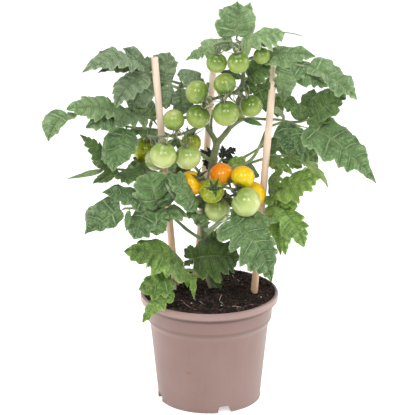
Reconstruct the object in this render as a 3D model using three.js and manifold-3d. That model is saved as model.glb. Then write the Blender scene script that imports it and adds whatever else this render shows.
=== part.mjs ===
// A dwarf cherry tomato plant with its fruit, held up by three wooden stakes, in a
// round plastic nursery pot. Millimetres, +Z up, origin at the centre of the pot's foot.
import * as THREE from "three";
import { mergeVertices } from "three/addons/utils/BufferGeometryUtils.js";
import Module from "manifold-3d";

const wasm = await Module();
wasm.setup();

// ---------------------------------------------------------------- driving dimensions
const gap = 0.3; // clearance that touching pieces keep

const pot = {
  footRadius: 52.7,
  footWidth: 3.7, // of the ring that the pot stands on
  footHeight: 2.2,
  wallBottomRadius: 52,
  wallTopRadius: 60.2,
  wallTop: 80.5,
  bandRadius: 63.6, // the upright band under the lip
  bandBottom: 88,
  lipBottom: 104.6,
  lipRadius: 70,
  height: 113,
  // The inner face from the rim down to the floor: radius and height of each corner.
  inside: [[67, 112], [62.5, 104.2], [61.9, 88.5], [58.4, 80.5], [51.2, 10.2]],
  floor: 10.2,
  floorBottom: 8.5, // the floor is raised, so that the notches let water out under it
  sides: 28,
  drainHoles: 6, // round holes in the floor
  drainHoleRadius: 4,
  notches: 4, // openings in the foot and the bottom of the wall
  firstNotch: 17, // degrees from +X
  notchWidth: 13,
  notchHeight: 7,
  notchDepth: 10, // of the cut, centred on the foot's ring
};

const soil = {
  rings: [20, 40, 57], // radii of the rings of the uneven surface
  sides: 16,
  edgeHeight: 111.2, // where the peat meets the pot's wall
  heap: 2.2, // how much higher it lies at the stem
  bump: 1.6,
};

const stake = { radius: 3.6, sides: 10, bevel: 0.8, depth: 45 };
// Each stake enters the peat at foot and leans out to its top.
const stakes = {
  stake_left: { foot: [-34, 7, 112], top: [-54, 8, 354] },
  stake_right: { foot: [45, -6, 108], top: [64, 14, 344] },
  stake_back: { foot: [-13, 40, 112], top: [5, 50, 345] },
};

// The stem: one trunk that forks in two. Each branch is a path and its radii at both ends.
const stem = {
  depth: 40, // how far the stem stands in the peat
  sides: 8,
  branches: [
    { path: [[4, 6, 112], [0, 6, 132], [-4, 6, 159], [-5, 6, 186], [-1, 6, 216], [4, 6, 249], [8, 5, 268]],
      radii: [4.4, 3.2] },
    { path: [[8, 5, 267], [21, 6, 284], [28, 8, 305], [33, 5, 331], [33, 1, 361], [30, 2, 371]], radii: [2.8, 1.4] },
    { path: [[8, 5, 267], [-3, 8, 286], [-5, 8, 308], [-1, 9, 328]], radii: [2.6, 1.5] },
  ],
};

const fruit = { sides: 8, squash: 0.95, dimple: 0.14 };
const ripeness = {
  green: 0x8fae45,
  pale: 0xb5c67c,
  turning: 0xb2a83a,
  yellow: 0xe9c22c,
  orange: 0xe8952a,
};
// Each tomato: centre, radius, the way its calyx points, how ripe it is.
const trusses = {
  truss_top: {
    path: [[33, 1, 360], [24, -9, 371], [13, -13, 373], [4, -14, 370]],
    tomatoes: [
      { at: 0.9, centre: [7, -16, 354], radius: 10.2, up: [0.1, -0.2, 1], colour: "green" },
      { at: 0.45, centre: [28, -24, 356], radius: 10.8, up: [-0.2, -0.1, 1], colour: "green" },
      { at: 0.1, centre: [51, -12, 360], radius: 8.3, up: [-0.4, -0.1, 1], colour: "green" },
    ],
  },
  truss_middle: {
    path: [[33, 5, 328], [26, -4, 322], [16, -6, 319], [6, -7, 316], [0, -7, 314]],
    tomatoes: [
      { at: 1, centre: [-12, -18, 325], radius: 11.6, up: [0.8, 0.4, -0.3], colour: "green" },
      { at: 0.4, centre: [15, -17, 333], radius: 11, up: [0.3, 0.4, -0.8], colour: "green" },
      { at: 0.3, centre: [15, 8, 322], radius: 8.6, up: [0.3, -0.9, 0.1], colour: "green" },
      { at: 0.9, centre: [-11, -16, 300], radius: 11.8, up: [0.5, 0.2, 0.8], colour: "green" },
      { at: 0.6, centre: [16, -26, 306], radius: 13, up: [-0.2, 0.6, 0.8], colour: "green" },
      { at: 0.3, centre: [41, -14, 310], radius: 11, up: [-0.4, 0.3, 0.9], colour: "green" },
    ],
  },
  truss_back: {
    path: [[29, 8, 311], [32, 15, 311], [31, 21, 306]],
    tomatoes: [
      { at: 1, centre: [27, 22, 292], radius: 9.2, up: [0.2, 0, 1], colour: "pale" },
    ],
  },
  truss_left: {
    path: [[-4, 8, 285], [-12, -4, 285], [-28, -12, 281], [-44, -14, 279], [-56, -4, 275], [-62, 10, 273]],
    tomatoes: [
      { at: 0.5, centre: [-35, -14, 296], radius: 10.8, up: [0.3, 0.1, -1], colour: "green" },
      { at: 0.95, centre: [-56, 34, 291], radius: 8.3, up: [-0.1, -0.8, -0.5], colour: "turning" },
      { at: 1, centre: [-64, 20, 256], radius: 13, up: [0.1, -0.4, 1], colour: "turning" },
      { at: 0.85, centre: [-52, -8, 254], radius: 11.8, up: [-0.1, 0.2, 1], colour: "pale" },
      { at: 0.65, centre: [-45, -31, 265], radius: 13, up: [0.1, 0.5, 0.7], colour: "pale" },
      { at: 0.35, centre: [-21, -20, 260], radius: 12.6, up: [-0.1, 0.2, 1], colour: "green" },
      { at: 0.2, centre: [-18, 3, 268], radius: 10, up: [0.2, -0.2, 1], colour: "turning" },
    ],
  },
  truss_ripe: {
    path: [[1, 8, 226], [-1, -4, 229], [4, -16, 231], [14, -22, 230], [23, -24, 228]],
    tomatoes: [
      { at: 0.45, centre: [-18, -20, 233], radius: 12.2, up: [0.9, -0.2, 0.5], colour: "orange" },
      { at: 0.7, centre: [12, -9, 238], radius: 12, up: [0.2, -0.9, -0.4], colour: "orange" },
      { at: 0.95, centre: [33, -20, 239], radius: 11.6, up: [-0.4, -0.5, -0.7], colour: "yellow" },
      { at: 1, centre: [43, -10, 218], radius: 12.8, up: [-0.7, -0.5, 0.5], colour: "yellow" },
      { at: 0.95, centre: [36, -38, 219], radius: 14.6, up: [-0.5, 0.5, 0.7], colour: "pale" },
      { at: 0.5, centre: [1, -39, 230], radius: 10.2, up: [0.6, 0.6, 0.2], colour: "turning" },
      { at: 0.75, centre: [7, -14, 203], radius: 12, up: [0.2, -0.1, 1], colour: "pale" },
    ],
  },
};
const truss = { sides: 4, radius: 1.3, pedicel: 0.8, sepals: 5, sepalLength: 8.5, sepalInner: 2, sepalCurl: 1.6, sepalThickness: 0.7 };

// The leaves. A leaf is a stalk, thick at the stem and thin at the tip, and its leaflets: where
// each one sits along the stalk, where its tip is, its width, its roll about its own rib, and how
// far the rib bows up between base and tip.
const leafStalk = { sides: 4, radii: [1.8, 1.2], lastSeat: 0.97 };
const blade = { halfThickness: 0.35, droop: 0.22, neck: 0.6 };
const leaves = {
  leaf_crown: {
    path: [[33, 0, 361], [31, 0, 368], [26, 0, 374]],
    leaflets: [
      [1.0, 26, 10, 409, 40, 0, 3],
      [0.75, 73, -14, 386, 20, -15, 3],
      [0.5, 94, -2, 379, 6, -30, 9],
      [0.25, 71, 8, 368, 12, -20, 2],
      [0.7, -25, 12, 344, 24, -5, 6],
    ],
  },
  leaf_right_top: {
    path: [[33, 1, 352], [46, 3, 355], [62, 0, 354], [78, -14, 353], [92, -22, 352]],
    leaflets: [
      [1.0, 143, -32, 322, 30, -10, 9],
      [0.25, 105, -20, 368, 22, 0, 3],
      [0.75, 120, -34, 340, 18, 0, 3],
      [0.72, 68, 4, 313, 17, 0, 2],
    ],
  },
  leaf_right_back: {
    path: [[33, 6, 333], [42, 10, 330], [52, 16, 323], [66, 22, 313], [76, 24, 308]],
    leaflets: [
      [0.1, 60, 4, 350, 18, 0, 3],
      [0.35, 56, 14, 296, 16, 0, 2],
      [0.9, 85, 18, 296, 16, 0, 2],
      [0.75, 68, 20, 289, 12, 0, 2],
    ],
  },
  leaf_right_middle: {
    path: [[20, 9, 238], [39, 12, 248], [48, 15, 263], [56, 17, 279], [73, 10, 287], [89, -6, 292], [103, -14, 298]],
    leaflets: [
      [1.0, 133, -22, 326, 30, 0, 3],
      [0.84, 91, -12, 314, 17, 0, 2],
      [0.92, 103, 0, 324, 20, 0, 2],
      [0.9, 122, -26, 297, 16, 0, 2],
    ],
  },
  leaf_right_big: {
    path: [[15, 5, 277], [33, 12, 289], [56, 18, 288], [73, 6, 290], [89, -16, 290]],
    leaflets: [
      [1.0, 160, -38, 238, 42, 0, 16],
      [0.8, 68, -26, 266, 26, 0, 4],
      [0.75, 65, -18, 311, 14, 0, 2],
      [0.95, 90, -28, 261, 14, 0, 2],
    ],
  },
  leaf_right_low: {
    path: [[2, 8, 229], [20, 12, 238], [41, 16, 243], [56, 19, 247], [75, 8, 253], [92, -10, 252]],
    leaflets: [
      [1.0, 118, -24, 228, 7, 40, 5],
      [0.78, 98, -2, 250, 14, 0, 2],
      [0.7, 74, -12, 244, 16, 0, 2],
      [0.86, 93, -18, 248, 7, 0, 1],
    ],
  },
  leaf_right_bright: {
    path: [[-4, 6, 190], [23, 14, 194], [45, 18, 200], [58, 14, 208], [68, 2, 209]],
    leaflets: [
      [0.95, 108, -30, 242, 32, 0, 4],
      [1.0, 88, -20, 208, 14, 0, 2],
      [1.0, 96, -34, 175, 28, 0, 5],
      [0.9, 76, -18, 157, 22, 0, 3],
    ],
  },
  leaf_front_big: {
    path: [[-5, 6, 178], [-3, -14, 181], [4, -29, 192], [12, -34, 202]],
    leaflets: [
      [1.0, 60, -62, 144, 44, 0, 17],
      [1.0, 66, -34, 197, 20, 0, 3],
    ],
  },
  leaf_centre_low: {
    path: [[-1, 6, 138], [-3, -4, 143], [-12, -18, 151], [-19, -26, 156]],
    leaflets: [
      [1.0, 31, -36, 160, 44, 0, 5],
      [0.9, -19, -28, 172, 14, 0, 1],
      [0.5, 13, -22, 189, 20, 0, 2],
      [0.25, 12, -12, 118, 12, 0, 1],
    ],
  },
  leaf_left_bottom: {
    path: [[0, 6, 131], [-11, -8, 137], [-23, -20, 142], [-31, -30, 143], [-35, -38, 139], [-34, -46, 131]],
    leaflets: [
      [0.4, -82, -50, 172, 38, 0, 8],
      [0.8, -70, -50, 132, 28, 0, 3],
      [1.0, -66, -64, 102, 18, 0, 3],
      [0.4, -22, -26, 125, 7, 0, 1],
      [0.3, -15, -40, 118, 8, 0, 1],
    ],
  },
  leaf_left_low: {
    path: [[-4, 6, 165], [-22, -4, 182], [-33, -12, 194], [-43, -22, 204], [-58, -34, 212], [-76, -42, 215], [-87, -46, 218]],
    leaflets: [
      [1.0, -123, -56, 190, 40, 0, 5],
      [0.85, -103, -38, 230, 24, 0, 3],
      [0.75, -73, -50, 185, 24, 0, 3],
      [0.6, -48, -48, 190, 34, 0, 3],
      [0.5, -31, -30, 214, 26, 0, 3],
      [0.6, -56, -36, 247, 36, 0, 4],
      [0.9, -81, -46, 191, 6, 0, 1],
    ],
  },
  leaf_left_fold: {
    path: [[-3, 6, 202], [-8, -16, 201], [-12, -36, 209]],
    leaflets: [
      [1.0, -42, -46, 245, 24, 25, 3],
      [0.4, -31, 0, 195, 14, 0, 1],
    ],
  },
  leaf_left_top: {
    path: [[-4, 8, 314], [-24, 12, 319], [-44, 17, 326], [-59, 16, 334], [-68, 8, 343]],
    leaflets: [
      [0.97, -121, -44, 352, 32, 0, 14],
      [0.9, -85, 8, 365, 24, 0, 2],
      [0.95, -108, -34, 348, 14, 0, 2],
      [0.86, -93, -36, 315, 34, 0, 8],
      [0.5, -36, 16, 355, 20, 0, 2],
      [0.45, -43, 8, 301, 16, 0, 2],
      [0.8, -78, 4, 299, 26, 0, 3],
    ],
  },
  leaf_top_left: {
    path: [[-3, 9, 320], [-6, 14, 326], [-7, 16, 330]],
    leaflets: [
      [1.0, -32, 8, 339, 24, 0, 4],
      [0.97, -24, 20, 303, 16, 0, 2],
    ],
  },
  leaf_left_far: {
    path: [[-4, 9, 295], [-24, 17, 290], [-49, 23, 288], [-69, 10, 292], [-97, -14, 300], [-121, -32, 306], [-137, -40, 310]],
    leaflets: [
      [1.0, -156, -54, 286, 22, 0, 9],
      [0.6, -138, -42, 317, 26, 0, 5],
      [0.92, -137, -44, 304, 7, 0, 1],
      [0.45, -116, -40, 300, 32, 0, 3],
    ],
  },
  leaf_left_middle: {
    path: [[3, 7, 247], [-24, 20, 262], [-47, 27, 272], [-67, 8, 280], [-78, -8, 285]],
    leaflets: [
      [1.0, -82, -46, 248, 32, 0, 5],
      [0.95, -106, -34, 261, 14, 160, 2],
    ],
  },
  leaf_left_back: {
    path: [[-2, 6, 210], [-30, 24, 222], [-55, 28, 231], [-81, 8, 242], [-102, -8, 252]],
    leaflets: [
      [1.0, -127, -26, 285, 18, 0, 3],
      [0.92, -116, -14, 254, 8, 170, 1],
      [0.75, -80, -30, 236, 28, 0, 3],
      [1.0, -142, -30, 239, 4, 60, 3],
      [0.85, -115, -26, 237, 13, 0, 1],
      [0.45, -56, -6, 239, 12, 0, 1],
    ],
  },
  leaf_middle_back: {
    path: [[1, 8, 229], [13, 24, 237], [23, 32, 240]],
    leaflets: [
      [1.0, 39, 32, 236, 14, 0, 1],
      [0.5, -7, 22, 258, 11, 0, 1],
      [0.8, 24, 30, 258, 10, 0, 1],
      [0.6, 54, 26, 220, 14, 0, 2],
    ],
  },
  leaf_back_high_left: {
    path: [[-4, 9, 306], [-20, 26, 318], [-42, 42, 322], [-60, 50, 322]],
    leaflets: [
      [1.0, -96, 64, 300, 34, 0, 5],
      [0.8, -50, 70, 306, 24, 0, 3],
      [0.7, -80, 30, 320, 22, 0, 3],
      [0.4, -14, 56, 306, 20, 0, 2],
    ],
  },
  leaf_back_high_right: {
    path: [[33, 5, 340], [44, 24, 346], [64, 38, 342], [80, 46, 334]],
    leaflets: [
      [1.0, 116, 58, 304, 34, 0, 5],
      [0.8, 70, 68, 314, 24, 0, 3],
      [0.7, 102, 30, 332, 22, 0, 3],
      [0.4, 36, 54, 326, 20, 0, 2],
    ],
  },
  leaf_back_middle_left: {
    path: [[-3, 9, 226], [-18, 34, 236], [-38, 48, 238], [-52, 54, 236]],
    leaflets: [
      [1.0, -88, 66, 208, 36, 0, 5],
      [0.8, -40, 70, 208, 24, 0, 3],
      [0.7, -82, 42, 232, 22, 0, 3],
    ],
  },
  leaf_back_middle_right: {
    path: [[6, 6, 258], [24, 32, 262], [50, 44, 264], [68, 50, 262]],
    leaflets: [
      [1.0, 112, 60, 230, 36, 0, 5],
      [0.8, 62, 71, 230, 24, 0, 3],
      [0.7, 98, 32, 258, 22, 0, 3],
    ],
  },
  leaf_back_low_right: {
    path: [[-4, 6, 168], [14, 34, 176], [34, 48, 178], [46, 54, 176]],
    leaflets: [
      [1.0, 78, 68, 152, 34, 0, 4],
      [0.8, 36, 70, 148, 24, 0, 3],
      [0.7, 76, 44, 170, 22, 0, 3],
    ],
  },
};

const colours = { pot: 0xb89b93, soil: 0x2b211c, stake: 0xe0c3a8, stem: 0x5f7040, truss: 0x6f8555, leaf: 0x5f7f4f };

// ---------------------------------------------------------------- meshes and solids
const vector = (a) => new THREE.Vector3(...a);

function geometryFrom(points, triangles) {
  const geometry = new THREE.BufferGeometry();
  geometry.setAttribute("position", new THREE.Float32BufferAttribute(points.flatMap((p) => [p.x, p.y, p.z]), 3));
  geometry.setIndex(triangles.flat());
  return geometry;
}

function solidFrom(geometry) {
  geometry.deleteAttribute("normal");
  geometry.deleteAttribute("uv");
  const merged = mergeVertices(geometry, 1e-4);
  const mesh = new wasm.Mesh({
    numProp: 3,
    vertProperties: new Float32Array(merged.attributes.position.array),
    triVerts: new Uint32Array(merged.index.array),
  });
  return new wasm.Manifold(mesh);
}

function geometryOf(solid) {
  const mesh = solid.getMesh();
  const geometry = new THREE.BufferGeometry();
  geometry.setAttribute("position", new THREE.BufferAttribute(new Float32Array(mesh.vertProperties), 3));
  geometry.setIndex(new THREE.BufferAttribute(new Uint32Array(mesh.triVerts), 1));
  geometry.computeVertexNormals();
  return geometry;
}

const join = (solids) => solids.reduce((whole, solid) => whole.add(solid));

// A round bar along points, with a radius at each: rings of vertices joined by a loop.
function bar(points, radii, sides, grow = 0) {
  const rings = points.length;
  const vertices = [];
  let across = new THREE.Vector3(0, 1, 0);
  points.forEach((point, i) => {
    const ahead = points[Math.min(i + 1, rings - 1)].clone().sub(points[Math.max(i - 1, 0)]).normalize();
    if (Math.abs(ahead.dot(across)) > 0.9) across.set(1, 0, 0);
    across = across.clone().addScaledVector(ahead, -across.dot(ahead)).normalize();
    const third = new THREE.Vector3().crossVectors(ahead, across);
    const centre = point.clone();
    if (i === 0) centre.addScaledVector(ahead, -grow);
    if (i === rings - 1) centre.addScaledVector(ahead, grow);
    for (let k = 0; k < sides; k++) {
      const turn = (k / sides) * 2 * Math.PI;
      const radius = radii[i] + grow;
      vertices.push(centre.clone().addScaledVector(across, radius * Math.cos(turn))
        .addScaledVector(third, radius * Math.sin(turn)));
    }
  });
  const triangles = [];
  for (let i = 0; i < rings - 1; i++) {
    for (let k = 0; k < sides; k++) {
      const a = i * sides + k;
      const b = i * sides + ((k + 1) % sides);
      triangles.push([a, b, b + sides], [a, b + sides, a + sides]);
    }
  }
  const last = (rings - 1) * sides;
  for (let k = 1; k < sides - 1; k++) {
    triangles.push([0, k + 1, k], [last, last + k, last + k + 1]);
  }
  return solidFrom(geometryFrom(vertices, triangles));
}

const curveThrough = (path) => new THREE.CatmullRomCurve3(path.map(vector), false, "centripetal");

// A bar along a smooth curve through path, tapering between its two end radii.
function taperedBar(path, radii, sides, steps, grow = 0) {
  const points = curveThrough(path).getPoints(steps);
  const taper = points.map((_, i) => THREE.MathUtils.lerp(radii[0], radii[1], i / steps));
  return bar(points, taper, sides, grow);
}

function lathe(profile, sides) {
  const points = profile.map(([radius, height]) => new THREE.Vector2(radius, height));
  return solidFrom(new THREE.LatheGeometry(points, sides).rotateX(Math.PI / 2));
}

// ---------------------------------------------------------------- pot and peat
// Radius of the pot's inner face at a height between its floor and its rim.
function insideRadius(height) {
  const below = pot.inside.findIndex(([, corner]) => corner <= height);
  const [[upperRadius, upper], [lowerRadius, lower]] = pot.inside.slice(below - 1, below + 1);
  return THREE.MathUtils.mapLinear(height, lower, upper, lowerRadius, upperRadius);
}

function makePot() {
  const shell = lathe([
    [0, pot.floorBottom],
    [pot.footRadius - pot.footWidth, pot.floorBottom],
    [pot.footRadius - pot.footWidth, 0],
    [pot.footRadius, 0],
    [pot.footRadius, pot.footHeight],
    [pot.wallBottomRadius + 0.3, pot.footHeight + 0.6],
    [pot.wallTopRadius, pot.wallTop],
    [pot.bandRadius - 0.3, pot.bandBottom - 1.4],
    [pot.bandRadius, pot.bandBottom],
    [pot.bandRadius + 0.7, pot.lipBottom - 0.2],
    [pot.lipRadius - 0.8, pot.lipBottom],
    [pot.lipRadius, pot.lipBottom + 1.4],
    [pot.lipRadius, pot.height - 1.6],
    [pot.lipRadius - 1, pot.height],
    [pot.inside[0][0] + 0.8, pot.height],
    ...pot.inside,
    [0, pot.floor],
  ], pot.sides);
  let solid = shell;
  for (let i = 0; i < pot.drainHoles; i++) {
    const turn = ((i + 0.5) / pot.drainHoles) * 2 * Math.PI;
    const hole = new THREE.CylinderGeometry(pot.drainHoleRadius, pot.drainHoleRadius, pot.floor * 3, 8);
    hole.rotateX(Math.PI / 2);
    hole.translate(0.6 * pot.footRadius * Math.cos(turn), 0.6 * pot.footRadius * Math.sin(turn), 0);
    solid = solid.subtract(solidFrom(hole));
  }
  for (let i = 0; i < pot.notches; i++) {
    const turn = THREE.MathUtils.degToRad(pot.firstNotch) + (i / pot.notches) * 2 * Math.PI;
    solid = solid.subtract(drainNotch(turn));
  }
  return solid;
}

// A drain notch: a trapezoid cut right through the foot and the bottom of the wall.
function drainNotch(turn) {
  const half = pot.notchWidth / 2;
  const outline = new THREE.Shape([
    new THREE.Vector2(-half - 1, -1),
    new THREE.Vector2(half + 1, -1),
    new THREE.Vector2(half - 1.5, pot.notchHeight),
    new THREE.Vector2(-half + 1.5, pot.notchHeight),
  ]);
  const notch = new THREE.ExtrudeGeometry(outline, { depth: pot.notchDepth, bevelEnabled: false });
  notch.rotateX(Math.PI / 2);
  notch.rotateZ(Math.PI / 2);
  notch.translate(pot.footRadius - (pot.footWidth + pot.notchDepth) / 2, 0, 0);
  notch.rotateZ(turn);
  return solidFrom(notch);
}

function makeSoil() {
  const top = (radius, turn) => {
    const heap = soil.heap * (1 - (radius / pot.inside[0][0]) ** 2);
    const lumps = Math.sin(0.19 * radius + 3 * turn) + Math.sin(0.31 * radius - 5 * turn + 1);
    return soil.edgeHeight + heap + 0.5 * soil.bump * lumps;
  };
  const wallAt = (height) => insideRadius(height) * Math.cos(Math.PI / soil.sides) - gap;
  const vertices = [new THREE.Vector3(0, 0, top(0, 0))];
  const ring = (radius, heightAt) => {
    for (let k = 0; k < soil.sides; k++) {
      const turn = (k / soil.sides) * 2 * Math.PI;
      vertices.push(new THREE.Vector3(radius * Math.cos(turn), radius * Math.sin(turn), heightAt(turn)));
    }
  };
  for (const radius of soil.rings) ring(radius, (turn) => top(radius, turn));
  const corners = pot.inside.slice(1, -1).map(([, height]) => height);
  const levels = [soil.edgeHeight - 2, ...corners, pot.floor + gap];
  for (const level of levels) ring(wallAt(level), () => level);
  vertices.push(new THREE.Vector3(0, 0, pot.floor + gap));
  const triangles = [];
  const ringCount = soil.rings.length + levels.length;
  for (let k = 0; k < soil.sides; k++) {
    const next = (k + 1) % soil.sides;
    triangles.push([0, 1 + k, 1 + next]);
    for (let i = 0; i < ringCount - 1; i++) {
      const a = 1 + i * soil.sides;
      const b = a + soil.sides;
      triangles.push([a + k, b + k, b + next], [a + k, b + next, a + next]);
    }
    const bottom = 1 + (ringCount - 1) * soil.sides;
    triangles.push([bottom + k, vertices.length - 1, bottom + next]);
  }
  return solidFrom(geometryFrom(vertices, triangles));
}

// ---------------------------------------------------------------- stakes and stem
function makeStake({ foot, top }, grow = 0) {
  const start = vector(foot);
  const end = vector(top);
  const along = end.clone().sub(start).normalize();
  start.addScaledVector(along, -stake.depth);
  const shoulder = (point, way) => point.clone().addScaledVector(along, way * stake.bevel);
  const points = [start, shoulder(start, 1), shoulder(end, -1), end];
  const narrow = stake.radius - stake.bevel;
  return bar(points, [narrow, stake.radius, stake.radius, narrow], stake.sides, grow);
}

function makeStem(grow = 0) {
  const [trunk, ...forks] = stem.branches;
  const foot = [trunk.path[0][0] + 1, trunk.path[0][1], trunk.path[0][2] - stem.depth];
  const solids = [taperedBar([foot, ...trunk.path], [trunk.radii[0] + 0.6, trunk.radii[1]], stem.sides, 12, grow)];
  for (const fork of forks) solids.push(taperedBar(fork.path, fork.radii, stem.sides - 2, 9, grow));
  return join(solids);
}

// ---------------------------------------------------------------- fruit
// A round, slightly flattened tomato with a dimple under its calyx.
function makeTomato({ centre, radius, up }, grow = 0) {
  const size = radius + grow;
  const profile = [[0, -1], [0.7, -0.72], [1.02, 0], [0.66, 0.82], [0, 1 - fruit.dimple]];
  const points = profile.map(([x, z]) => new THREE.Vector2(size * x, size * fruit.squash * z));
  const geometry = new THREE.LatheGeometry(points, fruit.sides);
  geometry.applyQuaternion(new THREE.Quaternion().setFromUnitVectors(new THREE.Vector3(0, 1, 0), vector(up).normalize()));
  geometry.translate(...centre);
  return solidFrom(geometry);
}

// The stalk of a truss, with a short pedicel and a star of curled sepals for each tomato.
function makeTruss({ path, tomatoes }, grow = 0) {
  const curve = curveThrough(path);
  const solids = [taperedBar(path, [truss.radius + 0.3, truss.radius], truss.sides, 7, grow)];
  for (const tomato of tomatoes) {
    const up = vector(tomato.up).normalize();
    const crown = vector(tomato.centre).addScaledVector(up, tomato.radius * fruit.squash * (1 - fruit.dimple) + gap);
    const root = curve.getPoint(tomato.at);
    const seat = crown.clone().addScaledVector(up, 0.5 * truss.sepalThickness);
    const knee = crown.clone().addScaledVector(up, 4).lerp(root, 0.25);
    const radii = [truss.pedicel + 0.3, truss.pedicel + 0.1, truss.pedicel + 0.2];
    solids.push(bar([root, knee, seat], radii, truss.sides, grow));
    solids.push(makeCalyx(crown, up, grow));
  }
  return join(solids);
}

// The calyx: one thin star, its points curled up off the fruit's shoulder.
function makeCalyx(crown, up, grow) {
  const spin = new THREE.Quaternion().setFromUnitVectors(new THREE.Vector3(0, 0, 1), up);
  const middle = 0.5 * truss.sepalThickness;
  const half = middle + grow;
  const corners = 2 * truss.sepals;
  const vertices = [];
  for (const lift of [half, -half]) {
    vertices.push(new THREE.Vector3(0, 0, middle + lift));
    for (let k = 0; k < corners; k++) {
      const turn = ((k + 0.6) / corners) * 2 * Math.PI;
      const isTip = k % 2 === 0;
      const reach = (isTip ? truss.sepalLength : truss.sepalInner) + grow;
      const height = middle + 0.3 + (isTip ? truss.sepalCurl : 0) + lift;
      vertices.push(new THREE.Vector3(reach * Math.cos(turn), reach * Math.sin(turn), height));
    }
  }
  vertices.forEach((vertex) => vertex.applyQuaternion(spin).add(crown));
  const under = corners + 1;
  const triangles = [];
  for (let k = 1; k <= corners; k++) {
    const next = (k % corners) + 1;
    triangles.push([0, k, next], [under, under + next, under + k]);
    triangles.push([k, under + k, under + next], [k, under + next, next]);
  }
  return solidFrom(geometryFrom(vertices, triangles));
}

// ---------------------------------------------------------------- leaves
// Half outlines of a leaflet: distance along the rib and share of the half width, base to tip.
const outlines = {
  large: [[0.12, 0.1], [0.16, 0.76], [0.34, 1], [0.39, 0.72], [0.57, 0.8], [0.62, 0.5], [0.78, 0.46], [0.82, 0.26]],
  medium: [[0.14, 0.12], [0.2, 0.8], [0.42, 1], [0.49, 0.66], [0.7, 0.58], [0.76, 0.32]],
  small: [[0.16, 0.12], [0.24, 0.82], [0.5, 1], [0.6, 0.6]],
  narrow: [[0.3, 1], [0.7, 0.6]],
};
const largeFrom = 60; // leaflets longer than this have the most teeth
const mediumFrom = 39;
const narrowUnder = 8;

function outlineFor(length, width) {
  if (width < narrowUnder) return outlines.narrow;
  if (length > largeFrom) return outlines.large;
  return length > mediumFrom ? outlines.medium : outlines.small;
}

// The frame of a leaflet: its rib's direction, its width's direction and its upper face's normal.
function leafletFrame(base, tip, roll) {
  const along = tip.clone().sub(base);
  const ahead = along.clone().normalize();
  const face = new THREE.Vector3(0, -0.6, 0.8);
  face.addScaledVector(ahead, -face.dot(ahead)).normalize();
  face.applyAxisAngle(ahead, THREE.MathUtils.degToRad(roll));
  return { along, across: new THREE.Vector3().crossVectors(ahead, face), face };
}

// A thin closed blade, split into triangles alike on both faces: a rib chain down the middle and
// a toothed chain down each side, joined pair by pair in order along the rib.
function makeBlade(base, [x, y, z], width, roll, bow, grow) {
  const tip = new THREE.Vector3(x, y, z);
  const { along, across, face } = leafletFrame(base, tip, roll);
  const outline = outlineFor(along.length(), width);
  const spot = (s, side) => base.clone().addScaledVector(along, s)
    .addScaledVector(face, 4 * bow * s * (1 - s) - blade.droop * width * side * side * 0.5)
    .addScaledVector(across, side * (width / 2 + grow));
  const neck = blade.neck / (width / 2);
  const edge = [[0, neck], ...outline.map(([s, w]) => [s, Math.max(w, neck)])];
  const rib = [0, ...outline.filter((_, i) => i % 2 === 1).map(([s]) => s - 0.04)];
  const flat = [];
  const chain = (list) => list.map(([s, side]) => flat.push([s, side]) - 1);
  const middle = chain(rib.map((s) => [s, 0]));
  const left = chain(edge.map(([s, w]) => [s, w]));
  const right = chain(edge.map(([s, w]) => [s, -w]));
  const end = flat.push([1, 0]) - 1;
  const top = [...zip(middle, left, end, flat), ...zip(middle, right, end, flat).map(([a, b, c]) => [a, c, b])];
  const rim = [middle[0], ...left, end, ...right.slice().reverse()];
  const half = blade.halfThickness + grow;
  const count = flat.length;
  const vertices = [half, -half].flatMap((lift) => flat.map(([s, side]) => spot(s, side).addScaledVector(face, lift)));
  const triangles = [...top, ...top.map(([a, b, c]) => [a + count, c + count, b + count])];
  rim.forEach((a, i) => {
    const b = rim[(i + 1) % rim.length];
    triangles.push([a, a + count, b + count], [a, b + count, b]);
  });
  const solid = solidFrom(geometryFrom(vertices, triangles));
  return solid.volume() > 0 ? solid : solidFrom(geometryFrom(vertices, triangles.map(([a, b, c]) => [a, c, b])));
}

// Triangles between a rib chain and an edge chain that share their last point.
function zip(middle, edge, end, flat) {
  const a = [...middle, end];
  const b = [...edge, end];
  const triangles = [];
  let i = 0;
  let j = 0;
  while (i < a.length - 1 || j < b.length - 1) {
    const stepRib = j === b.length - 1 || (i < a.length - 1 && flat[a[i + 1]][0] < flat[b[j + 1]][0]);
    const triangle = stepRib ? [a[i], b[j], a[i + 1]] : [a[i], b[j], b[j + 1]];
    if (new Set(triangle).size === 3) triangles.push(triangle);
    if (stepRib) i += 1;
    else j += 1;
  }
  return triangles;
}

function makeLeaf({ path, leaflets }, grow = 0) {
  const curve = curveThrough(path);
  const steps = path.length;
  const solids = [taperedBar(path, leafStalk.radii, leafStalk.sides, steps, grow)];
  for (const [at, x, y, z, width, roll, bow] of leaflets) {
    solids.push(makeBlade(curve.getPoint(Math.min(at, leafStalk.lastSeat)), [x, y, z], width, roll, bow, grow));
  }
  return join(solids);
}

// ---------------------------------------------------------------- the plant
const group = new THREE.Group();
const placed = [];

function touches(a, b) {
  return [0, 1, 2].every((k) => a.min[k] < b.max[k] && b.min[k] < a.max[k]);
}

// Adds a piece. It is trimmed clear of what already stands there, and keeps its largest body.
function place(name, make, colour, roughness, keepWhole = false) {
  let solid = make(0);
  if (!keepWhole) {
    for (const other of placed) {
      if (touches(solid.boundingBox(), other.grown.boundingBox())) solid = solid.subtract(other.grown);
    }
    solid = solid.decompose().sort((a, b) => b.volume() - a.volume())[0];
  }
  placed.push({ name, grown: make(gap) });
  const material = new THREE.MeshStandardMaterial({ color: colour, roughness, metalness: 0 });
  const mesh = new THREE.Mesh(geometryOf(solid), material);
  mesh.name = name;
  group.add(mesh);
}

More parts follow.
